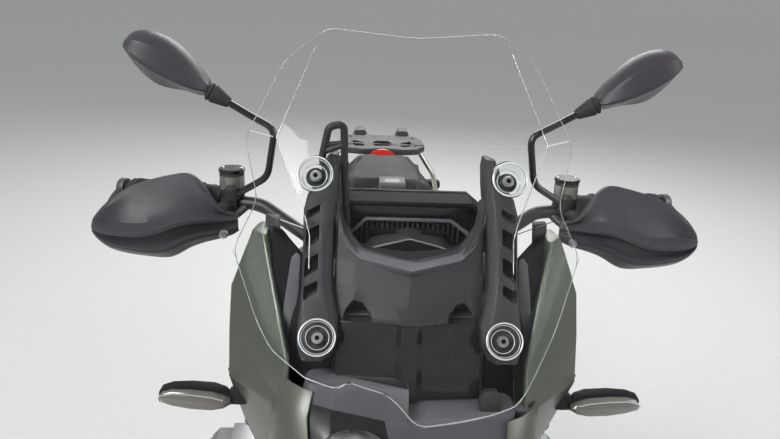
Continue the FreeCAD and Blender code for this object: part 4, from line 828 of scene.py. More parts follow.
def marked(name, rows):
    """Mesh of loose points in millimetres, each with the direction that it faces and a size."""
    mesh = bpy.data.meshes.new(name)
    mesh.from_pydata([Vector(point) * MM for point, way, size in rows], [], [])
    mesh.attributes.new("turn", "FLOAT_VECTOR", "POINT")
    mesh.attributes.new("size", "FLOAT", "POINT")
    for index, (point, way, size) in enumerate(rows):
        mesh.attributes["turn"].data[index].vector = Vector(way).to_track_quat("Z", "Y").to_euler()
        mesh.attributes["size"].data[index].value = size
    return mesh


def screw_shape(radius, height):
    """Button screw with a six-sided socket, its foot at the origin and its head along Z."""
    profile = [(0, radius), (height * 0.45, radius), (height * 0.85, radius * 0.78), (height, radius * 0.5)]
    around = turns(12)
    rings = [[(r * math.cos(a), r * math.sin(a), z) for a in around] for z, r in profile]
    socket, floor = radius * 0.48, height - 1.4
    for depth, reach in ((height, socket), (floor, socket), (floor, 0.05)):
        rings.append([(reach * math.cos(a) * flat, reach * math.sin(a) * flat, depth)
                      for a, flat in zip(around, (0.9, 1.0) * 6)])
    return skin("screw", rings, closed=True)


def screws(name, body, rows, finish, slot, radius, height):
    """Screws on marks of (point, way, size)."""
    return grown(name, "marks", body, slot, shape=screw_shape(radius, height), finish=finish,
                 marks=marked(name, rows))


def mirrored_rows(rows):
    """The rows and their mirror images."""
    return rows + [((-p[0], p[1], p[2]), (-w[0], w[1], w[2]), s) for p, w, s in rows]


# Windscreen: height, depth of the middle, half width between the creases
SCREEN = [(985, -692, 130), (1100, -645, 126), (1212, -583, 128), (1313, -526, 176), (1450, -440, 119)]
SCREEN_OUTLINE = [(0, 1437), (115, 1446), (170, 1403), (220, 1301), (201, 1228), (238, 1157), (194, 1083),
                  (164, 1047), (143, 1026), (101, 1015), (63, 1009), (10, 1003), (-13, 1027), (-29, 1039),
                  (-74, 1050), (-90, 1042), (-151, 1057), (-174, 1063), (-194, 1085), (-236, 1157),
                  (-202, 1228), (-222, 1301), (-172, 1402), (-116, 1446)]
# Half width at the sheet's full reach, how deep it bows between its creases and how far its wings sweep back
SCREEN_REACH = 262
SCREEN_BOW = 0.0006
SCREEN_SWEEP = 0.9
SCREEN_TILT = Vector((0, -0.859, 0.511))
CUPS = [(124, -521, 1266), (114, -628, 1092)]
# Rings painted bright round a cup as its painted highlights, the outer one on its rim: height over its foot,
# radius, thickness
CUP_HIGHLIGHT_RINGS = [(18.5, 22.0, 1.0), (15.5, 19.6, 0.4), (7.0, 14.4, 0.5)]


def screen_rows(z):
    """The rows of the screen's table below and above a height, and its share of the way between them."""
    low, high = [pair for pair in zip(SCREEN, SCREEN[1:]) if pair[0][0] <= z <= pair[1][0]][0]
    return low, high, (z - low[0]) / (high[0] - low[0])


def screen_point(x, z, shift=0.0):
    """Point on the front of the screen at a place across and a height."""
    low, high, share = screen_rows(z)

    def between(first, second):
        return first + (second - first) * share

    crease = between(low[2], high[2])
    inside = min(abs(x) / crease, 1.0)
    rise = inside ** 2 * between(low[2] ** 2, high[2] ** 2) * SCREEN_BOW
    beyond = max(abs(x) - crease, 0.0) / (SCREEN_REACH - crease)
    rise += beyond * between(*[(SCREEN_REACH - row[2]) * SCREEN_SWEEP for row in (low, high)])
    return (x, between(low[1], high[1]) + rise + shift, z)


def screen():
    """Painted highlight lines on the clear sheet's edge and creases, bright rings painted round the cups as
    highlights, grommets, bolts and painted shade in the bolts' sockets.
    """
    start = tuple((first + second) / 2 for first, second in zip(*SCREEN_OUTLINE[:2]))
    outline = smooth_line([start, *SCREEN_OUTLINE[1:], SCREEN_OUTLINE[0], start], 17)[:-1]
    # Opaque grey bead along the sheet's outline: a painted highlight standing for the bright line of the
    # clear edge
    edge = bead("screen_edge", [screen_point(x, z, 2.0) for x, z in stepped(outline, 8)], 0.8, True)
    piece("screen_edge", edge, "chassis", "screen_clear", finish="polished_edge", angle=60)
    rims, grommets, washers, bolts, sockets = [], [], [], [], []
    for x, y, z in CUPS:
        for side in (-1, 1):
            foot = Vector((side * x, y, z))
            for up, radius, thick in CUP_HIGHLIGHT_RINGS:
                circle = ring_points(foot + SCREEN_TILT * up, SCREEN_TILT, radius)
                rims.append(bead("rim", circle, thick, True))
            grommets.append(lathe("grommet", [(3.0, 0), (3.0, 9.0), (5.0, 9.0), (6.6, 7.6), (6.6, 0)],
                                  foot, SCREEN_TILT, 32))
            washers.append(lathe("washer", [(6.6, 0), (6.6, 7.4), (7.6, 7.4), (8.2, 6.8), (8.2, 0)],
                                 foot, SCREEN_TILT, 32))
            bolts.append(lathe("bolt", [(8, 6.6), (10.4, 6.6), (11.4, 5.8), (11.4, 3.3), (9.6, 3.0),
                                        (9.6, 0)], foot, SCREEN_TILT, 32))
            # Near-black six-sided block deep in each bolt's recess: painted shade in the socket
            sockets.append(lathe("socket", [(9.7, 2.9), (10.6, 2.9), (10.6, 0)], foot, SCREEN_TILT, 6))
    # Bright rings round the clear cups: painted highlights
    piece("cup_rims", rims, "chassis", "screen_clear", finish="cup_edge", angle=60)
    piece("cup_grommets", grommets, "chassis", "boot_rubber", angle=40)
    piece("cup_washers", washers + bolts, "chassis", "disc_steel", finish="bolt_steel", angle=35)
    piece("cup_sockets", sockets, "chassis", "black_metal", finish="liner_black")
    # Bright beads along the sheet's two creases: painted highlights
    for number, side in enumerate((-1, 1)):
        line = []
        for z in range(1170, 1440, 18):
            low, high, share = screen_rows(z)
            line.append(screen_point(side * (low[2] + (high[2] - low[2]) * share), z, 1.0))
        piece(f"screen_crease_{number}", bead("crease", line, 0.6), "chassis", "screen_clear",
              finish="polished_edge")


# Arms that carry the screen: height, outer x, inner x, front y
ARM = [(1066, 134, 98, -640), (1080, 139, 92, -634), (1104, 139, 90, -620), (1124, 137, 96, -607),
       (1150, 136, 100, -590), (1200, 137, 100, -560), (1228, 138, 98, -543), (1244, 134, 96, -532),
       (1260, 122, 95, -523), (1278, 114, 95, -513), (1290, 110, 98, -506)]
ARM_SLOTS = [(1132, 18), (1156, 24), (1188, 24), (1220, 14)]


def arms():
    """Slotted arms with a raised front edge, near-black backs behind the slots as painted shade seen through
    them, and pads under the cups.
    """
    rows = [[(outer, front + 5, z), (outer - 4, front, z), (inner + 10, front, z), (inner, front + 12, z),
             (inner - 2, front + 34, z), (inner + 6, front + 34, z), (inner + 10, front + 18, z),
             (outer - 4, front + 14, z), (outer, front + 12, z)] for z, outer, inner, front in ARM]
    blank = link("arm_blank", skin("arm_blank", rows, closed=True))
    for low, tall in ARM_SLOTS:
        outline = [(117, low + 7), (130, low), (132, low + 1), (132, low + tall - 6), (119, low + tall),
                   (117, low + tall)]
        cutter = link("slot_cut", bar("slot_cut", outline, (-700, -450), 1))
        cut = blank.modifiers.new("Slot", "BOOLEAN")
        cut.operation = "DIFFERENCE"
        cut.solver = "EXACT"
        cut.object = cutter
        settled(blank)
        bpy.data.objects.remove(cutter)
    pads = []
    for cup, radius in zip(CUPS, (13, 23)):
        profile = [(-14, 0), (-14, radius - 2), (-1, radius), (1.5, radius - 1), (2.6, radius - 4), (2.6, 0)]
        pads.append(lathe("pad", profile, cup, SCREEN_TILT, 40))
    # Near-black plates right behind the slots: painted shade seen through them
    back = [[(114, front + 12, z), (135, front + 12, z), (135, front + 20, z), (114, front + 20, z)]
            for z, front in ((1126, -606), (1150, -590), (1200, -560), (1237, -538))]
    piece("slot_backs", both_sides(skin("slot_backs", back, closed=True)), "chassis", "dark_plastic",
          finish="liner_black")
    mesh = joined("screen_arm_bodies", [taken(blank)] + pads)
    piece("screen_arm_bodies", both_sides(mesh), "chassis", "dark_plastic", ["screen_arms"], bevel=1.4,
          angle=25)


# Flat lip of the cowl's opening from the middle to the right: near edge, then far edge
COWL_LIP = [((0, -590, 1167), (0, -572, 1174.5)), ((66, -570, 1176), (62, -550, 1181.5)),
            ((83, -556, 1189), (74, -536, 1193)), ((95, -540, 1208), (86, -522, 1209)),
            ((103, -525, 1240), (94, -507, 1241))]


# Dark liners between the arms and the side panels: height, then points across
SIDE_LINER = [(1204, [(166, -552), (172, -546), (178, -538)]),
              (1172, [(134, -566), (156, -552), (180, -520)]),
              (1110, [(124, -582), (152, -566), (180, -546)]),
              (1050, [(98, -598), (148, -584), (178, -556)]),
              (980, [(92, -612), (140, -600), (170, -570)])]


def cowl():
    """Front cowl with a flat lip round its opening, a gloss panel below and liners beside it."""
    softened("nose_cowl", 2.6, 40, "cowl_body")
    half = [(near, far, (far[0], far[1] + 3, far[2] - 9), (near[0], near[1] + 5, near[2] - 9))
            for near, far in COWL_LIP]
    lip = [[(-x, y, z) for x, y, z in row] for row in reversed(half[1:])] + [list(row) for row in half]
    piece("cowl_lip", skin("cowl_lip", lip, closed=True), "chassis", "dark_plastic", finish="lip_plastic",
          bevel=1.2)
    liner = link("liner", skin("liner", [[(x, y, z) for x, y in row] for z, row in SIDE_LINER]))
    piece("side_liners", both_sides(taken(walled(liner, 3))), "chassis", "dark_plastic", finish="liner_black",
          angle=40)
    slat = skin("slat", [[(136, y - 1, z), (150 + more, y, z), (150 + more, y + 5, z), (136, y + 5, z)]
                         for y, z, more in ((-576, 1060, 2), (-573, 1070, 15), (-568, 1128, 8),
                                            (-562, 1168, 2), (-561, 1176, -4))], closed=True)
    piece("side_slats", both_sides(slat), "chassis", "dark_plastic", finish="lip_plastic", bevel=1.0)
    rows = []
    for z, y in ((1008, -629), (1040, -621), (1075, -608), (1100, -600)):
        rows.append([(x, y + abs(x) * 0.06 - (9 if abs(x) < 9 else 0), z)
                     for x in (-92, -60, -30, -16, -8, 8, 16, 30, 60, 92)])
    panel = taken(walled(link("gloss", skin("cowl_gloss_panel", rows)), 3, 1))
    piece("cowl_gloss_panel", panel, "chassis", "dark_plastic", finish="gloss_black", bevel=1.0)


# Octagon of the display, from its top right corner round, and its middle height
DISPLAY = [(82, 1226), (108, 1204), (112, 1176), (92, 1154), (-92, 1154), (-112, 1176), (-108, 1204),
           (-82, 1226)]
DISPLAY_MIDDLE = 1190
# Shield before the display, from the left foot over the top to the right foot: front, then back
SHIELD = {-531: [(-66, 1150), (-66, 1169), (-37, 1178), (0, 1188), (37, 1179), (66, 1169), (66, 1150)],
          -490: [(-66, 1150), (-63, 1158), (-49, 1179), (0, 1190), (49, 1180), (67, 1158), (66, 1150)]}
DISPLAY_BAND = [(58, 1200), (82, 1183), (88, 1162), (-88, 1162), (-84, 1174), (-57, 1200)]


def display():
    """Display housing with a deep hood, ribs in its recess and a gabled shield before it."""
    body = softened("display", 1.8, 28, "display_body", "liner_black")
    front = Vector((0, -505, 0)) * MM
    reworked(body.data, lambda work: bmesh.ops.bisect_plane(
        work, geom=whole(work), plane_co=front, plane_no=(0, -1, 0), clear_outer=True))
    shield = skin("shield", [[(x, y, z) for x, z in row] for y, row in SHIELD.items()], closed=True)
    struts = [rod_mesh("strut", (side * 66, -508, 1164), (side * 95, -520, 1187), 2.2) for side in (-1, 1)]
    piece("display_shield_body", [shield] + struts, "chassis", "dark_plastic", ["display_shield"],
          bevel=1.3, angle=8)
    face = mesh_of("shield_face", [(x * 0.96, -531.9, z - 1.5) for x, z in SHIELD[-531]], [tuple(range(7))])
    piece("shield_face", face, "chassis", "dark_plastic", finish="liner_black")
    # Grey bead on the shield's front top edge: a painted highlight along that edge
    edge = bead("shield_edge", [(x, -531, z + 0.3) for x, z in SHIELD[-531][1:-1]], 1.0)
    piece("shield_edge", edge, "chassis", "dark_plastic", finish="panel_grey")
    hood = []
    for y, grow in ((-444, 0.6), (-500, 3.5), (-503, 1.0), (-501, -3.5), (-462, -6.0)):
        hood.append([(x + math.copysign(grow, x), y, z + math.copysign(grow, grow * (z - DISPLAY_MIDDLE)))
                     for x, z in DISPLAY])
    piece("display_hood", skin("display_hood", hood, closed=True, caps=False), "chassis", "black_plastic",
          finish="liner_black", bevel=1.2)
    line = [(x, -446, z + 1.0) for x, z in ((-108, 1204), (-82, 1228), (82, 1228), (108, 1204))]
    piece("hood_line", bead("hood_line", line, 1.4), "chassis", "black_plastic", finish="lip_plastic")
    pane = [(x * 0.97, -481, DISPLAY_MIDDLE + (z - DISPLAY_MIDDLE) * 0.94) for x, z in DISPLAY]
    glass = mesh_of("display_glass", pane, [tuple(range(8))])
    piece("display_glass", glass, "chassis", "black_plastic", finish="gloss_black")
    rib = bar("rib", ((-1.2, -2), (1.2, -2), (1.2, 3), (-1.2, 3)), (0, 30))
    grown("display_ribs", "row", "chassis", "black_plastic", shape=rib, Count=21,
          First=(-0.070, -0.484, 1.164), Step=(0.007, 0, 0))
    band = bead("display_band", [(x, -488, z) for x, z in DISPLAY_BAND], 3.0, True)
    piece("display_band", band, "chassis", "black_plastic", finish="lip_plastic", angle=50)
    holder = []
    for y, wide, low, high in ((-314, 19, 1184, 1197), (-310, 21, 1182, 1199), (-272, 21, 1182, 1199),
                               (-268, 19, 1184, 1197)):
        holder.append([(-15 - wide, y, low), (-15 + wide, y, low), (-15 + wide, y, high),
                       (-15 - wide, y, high)])
    stem = rod_mesh("stem", (-15, -290, 1150), (-15, -290, 1186), 12)
    piece("cradle_box", [skin("cradle_box", holder, closed=True), stem], "steering", "black_plastic",
          finish="lip_plastic", bevel=2.0)
    window = skin("cradle_window", [[(-27, -306, 1199.4), (-3, -306, 1199.4)],
                                    [(-27, -286, 1199.4), (-3, -286, 1199.4)]])
    piece("cradle_window", window, "steering", "black_plastic", finish="gloss_black")


def fins():
    """Small trim round the nose: the lever with its cross bar, and the side fins."""
    softened("screen_lever", 0.6, 50, "screen_lever_loop", finish="black_plastic")
    cross = rod_mesh("cross", (-114, -486, 1292), (-89, -487, 1302), 4.2)
    piece("screen_lever_bar", cross, "chassis", "black_plastic")
    softened("panel_fins", 1.5, 25, "panel_fin_bodies")


# Handguard sections: x, then height and depth of the lower edge, crease and upper edge
HANDGUARD = [(262, 1107, -303, 1128, -306, 1136, -303), (276, 1100, -306, 1130, -313, 1139, -301),
             (290, 1095, -308, 1131, -318, 1142, -300), (312, 1092, -316, 1134, -328, 1168, -284),
             (326, 1088, -321, 1135, -336, 1184, -275), (340, 1083, -325, 1135, -342, 1191, -270),
             (354, 1074, -328, 1131, -347, 1191, -270), (368, 1067, -330, 1126, -351, 1188, -272),
             (384, 1068, -332, 1121, -352, 1185, -274), (400, 1071, -334, 1117, -352, 1181, -277),
             (418, 1073, -334, 1115, -349, 1176, -281), (435, 1075, -333, 1114, -344, 1169, -285),
             (453, 1078, -330, 1113, -339, 1158, -292), (470, 1083, -326, 1113, -332, 1143, -300),
             (484, 1094, -321, 1114, -325, 1131, -306), (494, 1104, -316, 1115, -318, 1122, -312)]


def handguards():
    """Deflectors with a flared ledge, a dark groove, a second lip below and a screw at the inner end."""
    rows = []
    last = len(HANDGUARD) - 1
    for index, (x, low_z, low_y, mid_z, mid_y, top_z, top_y) in enumerate(HANDGUARD):
        ends = min(1.0, index / 3, (last - index) / 2)
        drop = mid_z - low_z
        out = 10 * ends
        top_y, top_z = top_y - 22 * ends, top_z + 8 * ends
        tall = top_z - mid_z
        brow = min(drop * 0.1 + 8 * ends, tall * 0.4)
        rows.append([
            (x, top_y + 9, top_z - 2), (x, top_y, top_z),
            (x, top_y - 6 * ends, top_z - tall * 0.14), (x, mid_y + 12 * ends, mid_z + brow),
            (x, mid_y - out, mid_z + drop * 0.10 * ends), (x, mid_y - out, mid_z),
            (x, mid_y + out * 0.5, mid_z - drop * 0.08), (x, mid_y + out * 0.6, mid_z - drop * 0.42),
            (x, mid_y - out * 0.6, mid_z - drop * 0.50), (x, mid_y - out * 0.5, mid_z - drop * 0.62),
            (x, low_y + 2, low_z + drop * 0.05), (x, low_y + 12, low_z)])
    weights = (0.6, 0.6, 0.75, 0.9, 0.95, 0.9, 0.8, 0.8, 0.9, 0.8, 0.6, 0.6)
    shell = walled(creased(link("shell", skin("shell", rows)), weights), 3.2, 0)
    piece("handguard_shells", both_sides(taken(rounded(shell, 2))), "steering", "guard_plastic", angle=26)
    screw = lathe("guard_screw", [(0, 0), (0, 7.5), (7, 7.5), (8.2, 6.4), (8.6, 3.4), (6.6, 3.0), (6.6, 0)],
                  (285, -315, 1108), (-0.15, -1, 0.1), 32)
    piece("guard_screws", both_sides(screw), "steering", "guard_plastic", finish="bolt_steel", angle=35)


# Left half of the handlebar: where it bends outwards, and its end
BAR_KNEE = Vector((225, -285, 1148))
BAR_END = Vector((465, -215, 1150))


def along_bar(distance):
    """Point on the handlebar's outer run and the run's direction, on the left."""
    run = (BAR_END - BAR_KNEE).normalized()
    return BAR_KNEE + run * distance, run


def guard_frames():
    """Tube of each handguard with its end bolt."""
    end, run = along_bar(250)
    route = [tuple(along_bar(252)[0]), tuple(end + Vector((16, -10, -3))), (484, -290, 1116),
             (440, -331, 1108), (330, -328, 1112), (276, -298, 1122), tuple(along_bar(24)[0])]
    tube = bead("guard_frame", route, 6.5, sides=12, smooth=8)
    plug = lathe("plug", [(0, 0), (0, 15), (10, 15), (13.2, 13), (13.8, 10), (13.8, 7), (11, 6.4), (11, 0)],
                 along_bar(250.8)[0], run, 32)
    piece("handguard_frames", both_sides(joined("handguard_frames", [tube, plug])), "steering",
          "guard_plastic", ["handguards"], finish="black_metal", angle=45)


# Mirror sections: x, bottom, top, ridge height, ridge depth
MIRROR = [(303, 1328, 1342, 1335, -292), (309, 1326, 1350, 1336, -295), (321, 1323, 1368, 1340, -300),
          (340, 1331, 1391, 1349, -306), (362, 1333, 1408, 1361, -309), (388, 1338, 1419, 1375, -309),
          (411, 1358, 1420, 1388, -305), (426, 1377, 1413, 1396, -297), (432, 1391, 1402, 1398, -288)]


def mirrors():
    """Mirror housings with two crease lines, their boots, stems and glasses."""
    back = -262
    rows = []
    for x, low, high, ridge, deep in MIRROR:
        tall = high - low
        rows.append([(x, back, low - 1.5), (x, back - 8, low - 3.0), (x, back - 13, low - 2.0),
                     (x, deep - 2.0, ridge - tall * 0.13), (x, deep - 4.0, ridge - tall * 0.06),
                     (x, deep + 3.0, ridge + (high - ridge) * 0.62), (x, (back + deep) / 2 - 4, high - 3),
                     (x, back - 8, high + 0.5), (x, back, high - 1)])
    blank = link("housing", skin("housing", rows, closed=True))
    weights = (0.9, 0.6, 0.6, 1.0, 0.95, 0.7, 0, 0, 0.9)
    housing = taken(rounded(creased(blank, weights), 3))
    piece("mirror_housings", both_sides(housing), "steering", "black_plastic", finish="guard_plastic",
          angle=24)
    base = along_bar(54)[0]
    route = [tuple(base + Vector((-2, -14, 12))), (214, -300, 1200), (203, -291, 1276), (236, -286, 1292),
             (312, -283, 1335)]
    stem = bead("stem", smooth_line(route, 16), 5.6, sides=16)
    piece("mirror_stems", both_sides(stem), "steering", "black_plastic", finish="gloss_black", angle=60)
    way = Vector((28, 1, 16)).normalized()
    boot = lathe("boot", [(-2, 0), (-2, 7.5), (0, 8.4), (24, 14.5), (26, 14.5), (27, 13.0), (29.5, 13.0),
                          (30, 14.8), (33, 14.8), (36, 10), (36, 0)], (276, -285, 1315), way, 32)
    foot = lathe("foot", [(0, 0), (0, 12), (18, 12), (20, 10), (24, 9), (26, 7), (26, 0)],
                 base + Vector((-2, -14, 8)), (0.02, 0, 1), 32)
    piece("mirror_boots", both_sides(joined("mirror_boots", [boot, foot])), "steering", "black_plastic",
          ["mirrors"], finish="grip_rubber", angle=35)
    softened("mirror_glasses", 0.8, 40, "mirror_faces")


# Fairing, lamps and nose
def seam(name, points, surface, slot, radius, out, finish=None):
    """Thin raised line that follows a surface, on both sides."""
    line = laid(stepped(points, 8, closed=False), surface, out)
    mesh = bead(name, [place for place, normal in line], radius)
    piece(name, both_sides(mesh), "chassis", slot, finish=finish, angle=60)


# Screws of the side panels, near the skin
PANEL_SCREWS = [(224, -500, 880), (236, -540, 990), (236, -300, 985), (222, -420, 1098), (206, -360, 800),
                (226, -262, 900)]


def fairing():
    """Side panels with their crease line, vents and screws, and the beak."""
    panels = softened("side_panels", 1.6, 30)
    surface = surface_of(panels.data)
    rows = [(place, normal, 0.9) for place, normal in laid(PANEL_SCREWS, surface, -0.6)]
    screws("panel_screws", "chassis", mirrored_rows(rows), "black_metal", "black_metal", 5.5, 2.2)
    crease = [(236, -552, 1000), (232, -470, 985), (233, -380, 968), (236, -262, 958)]
    seam("panel_crease", crease, surface, "dark_plastic", 1.6, 0.0)
    slat = bar("slat", ((-2, -2.2), (3, -2.2), (2, 2.2), (-3, 2.2)), (-34, 34), 1)
    grown("panel_slats", "row", "chassis", "black_plastic", shape=slat, mirror=True, Count=7,
          First=(.2355, -.318, .862), Step=(-.0026, 0, -.0135))
    softened("beak", 1.4, 30)
    rib = bar("rib", ((-1.4, -1), (1.4, -1), (1.0, 1.2), (-1.0, 1.2)), (-46, 46), 1)
    grown("beak_ribs", "row", "chassis", "graphite_paint", shape=rib, Count=5, First=(-.028, -.826, .8275),
          Step=(.014, 0, 0), Turn=(.22, 0, 0))


# Lamps of the nose: middle x, z, radius, front y of the lens
HEADLIGHTS = [(-66, 958, 49.7, -722), (62, 926, 37.7, -736)]
AHEAD = (0, -1, 0)
# Panels laid on the mask: name, finish, planes that bound it (point, outward way) in millimetres
OVERLAYS = [
    ("nose_window_left", "gloss_black", [((-24, 0, 985), (1, 0, .3)), ((-127, 0, 1000), (-1, 0, .3)),
                                         ((-80, 0, 1010), (.12, 0, 1)), ((0, 0, 898), (0, 0, -1))]),
    ("nose_window_right", "gloss_black", [((14, 0, 926), (-1, 0, .1)), ((110, 0, 926), (1, 0, .1)),
                                          ((0, 0, 970), (0, 0, 1)), ((0, 0, 880), (0, 0, -1))]),
]
# Cheeks beside the mask: height, then points from the mask out to the side panel
CHEEK = [(1030, [(118, -648), (132, -641), (146, -629), (156, -615)]),
         (1004, [(124, -668), (142, -658), (158, -642), (170, -622)]),
         (960, [(120, -694), (142, -682), (162, -660), (176, -630)]),
         (915, [(104, -722), (130, -706), (156, -676), (172, -636)]),
         (880, [(92, -738), (120, -716), (148, -680), (166, -640)])]


def overlay(name, source, planes, finish, out=1.2):
    """Thin panel of its own colour laid on part of a surface."""
    def change(work):
        for place, way in planes:
            bmesh.ops.bisect_plane(work, geom=whole(work), plane_co=Vector(place) * MM, plane_no=Vector(way),
                                   clear_outer=True)
        away = [face for face in work.faces if face.normal.y > -0.05 and face.normal.z < 0.5]
        bmesh.ops.delete(work, geom=away, context="FACES")
        work.normal_update()
        for vertex in work.verts:
            vertex.co += vertex.normal * out * MM

    sheet = taken(walled(link(name, reworked(source.copy(), change)), out))
    piece(name, sheet, "chassis", "graphite_paint", finish=finish)


def headlights():
    """Nose mask with two lamps of unlike size: bowl, projector, ring light and clear cover."""
    mask = softened("headlight_mask", 1.8, 30, finish="lip_plastic")
    for name, finish, planes in OVERLAYS:
        overlay(name, mask.data, planes, finish)
    for name, side, rows in (("cheek_right", 1, CHEEK[1:]), ("cheek_left", -1, CHEEK)):
        cheek = skin(name, [[(side * x, y, z) for x, y in row] for z, row in rows])
        piece(name, taken(walled(link(name, cheek), 4)), "chassis", "graphite_paint", bevel=1.2, angle=32)
    clip = skin("clip", [[(90, -652, 1002), (117, -652, 1002), (117, -628, 1002), (90, -628, 1002)],
                         [(92, -646, 1022), (115, -646, 1022), (115, -630, 1022), (92, -630, 1022)],
                         [(97, -642, 1030), (110, -642, 1030), (110, -634, 1030), (97, -634, 1030)]],
                closed=True)
    piece("nose_clip", clip, "chassis", "black_plastic", bevel=1.4)
    bowls, covers, rings, eyes, bezels = [], [], [], [], []
    for x, z, radius, y in HEADLIGHTS:
        foot = (x, y + 28, z)
        bowls.append(lathe("bowl", [(0, 0), (0, radius * .45), (10, radius * .74), (20, radius * .9),
                                    (24, radius - 1), (22, radius - .2), (0, radius - .2)], foot, AHEAD))
        eyes.append(lathe("eye", [(1, 0), (1, radius * .42), (12, radius * .42), (15, radius * .36),
                                  (19, radius * .2), (20.5, 0)], foot, AHEAD, 32))
        rings.append(bead("ring", ring_points((x, y + 8, z), AHEAD, radius * .86), 2.2, True))
        covers.append(lathe("cover", [(25, 0), (25, radius - 1), (27, radius - 1), (29, radius * .8),
                                      (30.5, radius * .4), (31, 0)], foot, AHEAD))
        bezels.append(lathe("bezel", [(27, radius + 2), (31, radius + 2), (32, radius - 1), (31, radius - 4),
                                      (27, radius - 4)], foot, AHEAD))
    piece("headlight_bowls", bowls, "chassis", "lamp_glass", ["headlight_lenses"], finish="bright_steel",
          angle=40)
    piece("headlight_eyes", eyes, "chassis", "lamp_glass", angle=40)
    piece("headlight_rings", rings, "chassis", "lamp_glass", finish="polished_edge")
    piece("headlight_covers", covers, "chassis", "screen_clear", angle=50)
    piece("headlight_bezels", bezels, "chassis", "black_plastic", finish="gloss_black")


# Front indicator sections from its tip in: x, bottom, top, depth behind the lens
INDICATOR = [(335, 950, 962, 8), (330, 945, 970, 14), (316, 941, 974, 18), (290, 937, 974, 22),
             (262, 936, 971, 24), (246, 939, 966, 22), (236, 945, 961, 14)]
# Rear indicators from the inside out: x and half height
REAR_SHELL = [(146, 13), (160, 17), (190, 16), (197, 11)]
REAR_LENS = [(148, 11), (162, 15), (188, 14), (195, 9)]


def indicators():
    """Indicators on short arms: slim shell, smoked lens with a bright line, rear pair and duct ticks."""
    front = -553
    shell = skin("shell", [[(x, front, low), (x, front, high), (x, front + deep * .6, high),
                            (x, front + deep, high - 6), (x, front + deep, low + 6)]
                           for x, low, high, deep in INDICATOR], closed=True)
    lens = skin("lens", [[(x, front, low + 1), (x, front - deep * .35, low + 4),
                          (x, front - deep * .5, (low + high) / 2), (x, front - deep * .3, high - 8),
                          (x, front, high - 5)] for x, low, high, deep in INDICATOR], closed=True)
    arm = skin("arm", [[(240, -552, 944), (240, -552, 962), (240, -536, 962), (240, -536, 944)],
                       [(222, -556, 946), (222, -556, 974), (222, -534, 974), (222, -534, 946)],
                       [(205, -556, 950), (205, -556, 978), (205, -534, 978), (205, -534, 950)]], closed=True)
    rear_arm = rod_mesh("rear_arm", (42, 884, 862), (150, 886, 846), 7)
    rear_shell = skin("rear_shell", [[(x, 896, 846 - tall), (x, 896, 846 + tall), (x, 876, 842 + tall),
                                      (x, 876, 850 - tall)] for x, tall in REAR_SHELL], closed=True)
    rear_lens = skin("rear_lens", [[(x, 896, 846 - tall), (x, 904, 846 - tall * .6),
                                    (x, 904, 846 + tall * .6), (x, 896, 846 + tall)]
                                   for x, tall in REAR_LENS], closed=True)
    shells = both_sides(joined("indicator_shells", [shell, arm, rear_arm, rear_shell]))
    piece("indicator_shells", shells, "chassis", "black_plastic", ["indicators"], bevel=1.4, angle=30)
    lenses = both_sides(joined("indicator_glasses", [lens, rear_lens]))
    piece("indicator_glasses", lenses, "chassis", "indicator_lens", ["indicator_lenses"], bevel=1.6, angle=30)
    line = [(x, front - deep * .42, high - 9) for x, low, high, deep in INDICATOR[1:-1]]
    piece("indicator_lines", both_sides(bead("line", line, 1.1)), "chassis", "indicator_lens",
          finish="bright_steel")
    tick = bar("tick", ((-.8, -1), (.8, -1), (.8, 1), (-.8, 1)), (-3, 3))
    grown("duct_ticks", "row", "chassis", "black_plastic", shape=tick, mirror=True, Count=6,
          First=(.2365, -.546, .986), Step=(-.0001, .0062, .0004))


# Tank and seats
def tank():
    """Tank with its seams, and the cap with its collar, ring of screws and lock cover."""
    body = softened("fuel_tank", 1.5, 30)
    surface = surface_of(body.data)
    ridge = [(60, -285, 1004), (64, -230, 1060), (66, -170, 1076), (66, -64, 1076), (58, 20, 1010),
             (50, 78, 896)]
    seam("tank_seam", ridge, surface, "graphite_paint", 1.3, 0.1, "black_plastic")
    knee = [(188, -200, 930), (196, -110, 905), (188, -30, 890), (160, 20, 872)]
    seam("knee_seam", knee, surface, "graphite_paint", 1.3, 0.1, "black_plastic")
    softened("fuel_cap", 1.5, 30)
    collar = lathe("collar", [(-2, 47), (-2, 62), (3.5, 62), (5.2, 60), (5.2, 49), (3.5, 47)],
                   (0, -120, 1075), (0, 0, 1), 64)
    piece("cap_collar", collar, "chassis", "graphite_paint", finish="black_metal", angle=35)
    marks = [((55 * math.cos(a), -120 + 55 * math.sin(a), 1080), (0, 0, 1), 1.0) for a in turns(6)]
    screws("cap_screws", "chassis", marks, "bright_steel", "graphite_paint", 3.0, 1.8)
    cover = lathe("lock", [(0, 0), (0, 14), (1.6, 14), (3, 12), (3, 0)], (0, -112, 1086.2), (0, 0, 1), 32)
    piece("cap_lock", cover, "fuel_cap", "black_metal", finish="bright_steel", angle=35)


# Seat covers: how far they may swell and the size of their foam's cells in millimetres, the pressure under
# them and the frames that it has to act
COVER_SWELL = 7.0
FOAM_CELL = 5
COVER_PRESSURE = 4.0
COVER_FRAMES = 20
# Seams on the seats: x, y, z near the skin, from the front back
SEAT_SEAMS = {
    "rider_seat": [(60, 120, 868), (96, 220, 870), (112, 320, 870), (118, 420, 884)],
    "pillion_seat": [(96, 452, 952), (98, 520, 976), (90, 620, 978), (70, 736, 972)],
}


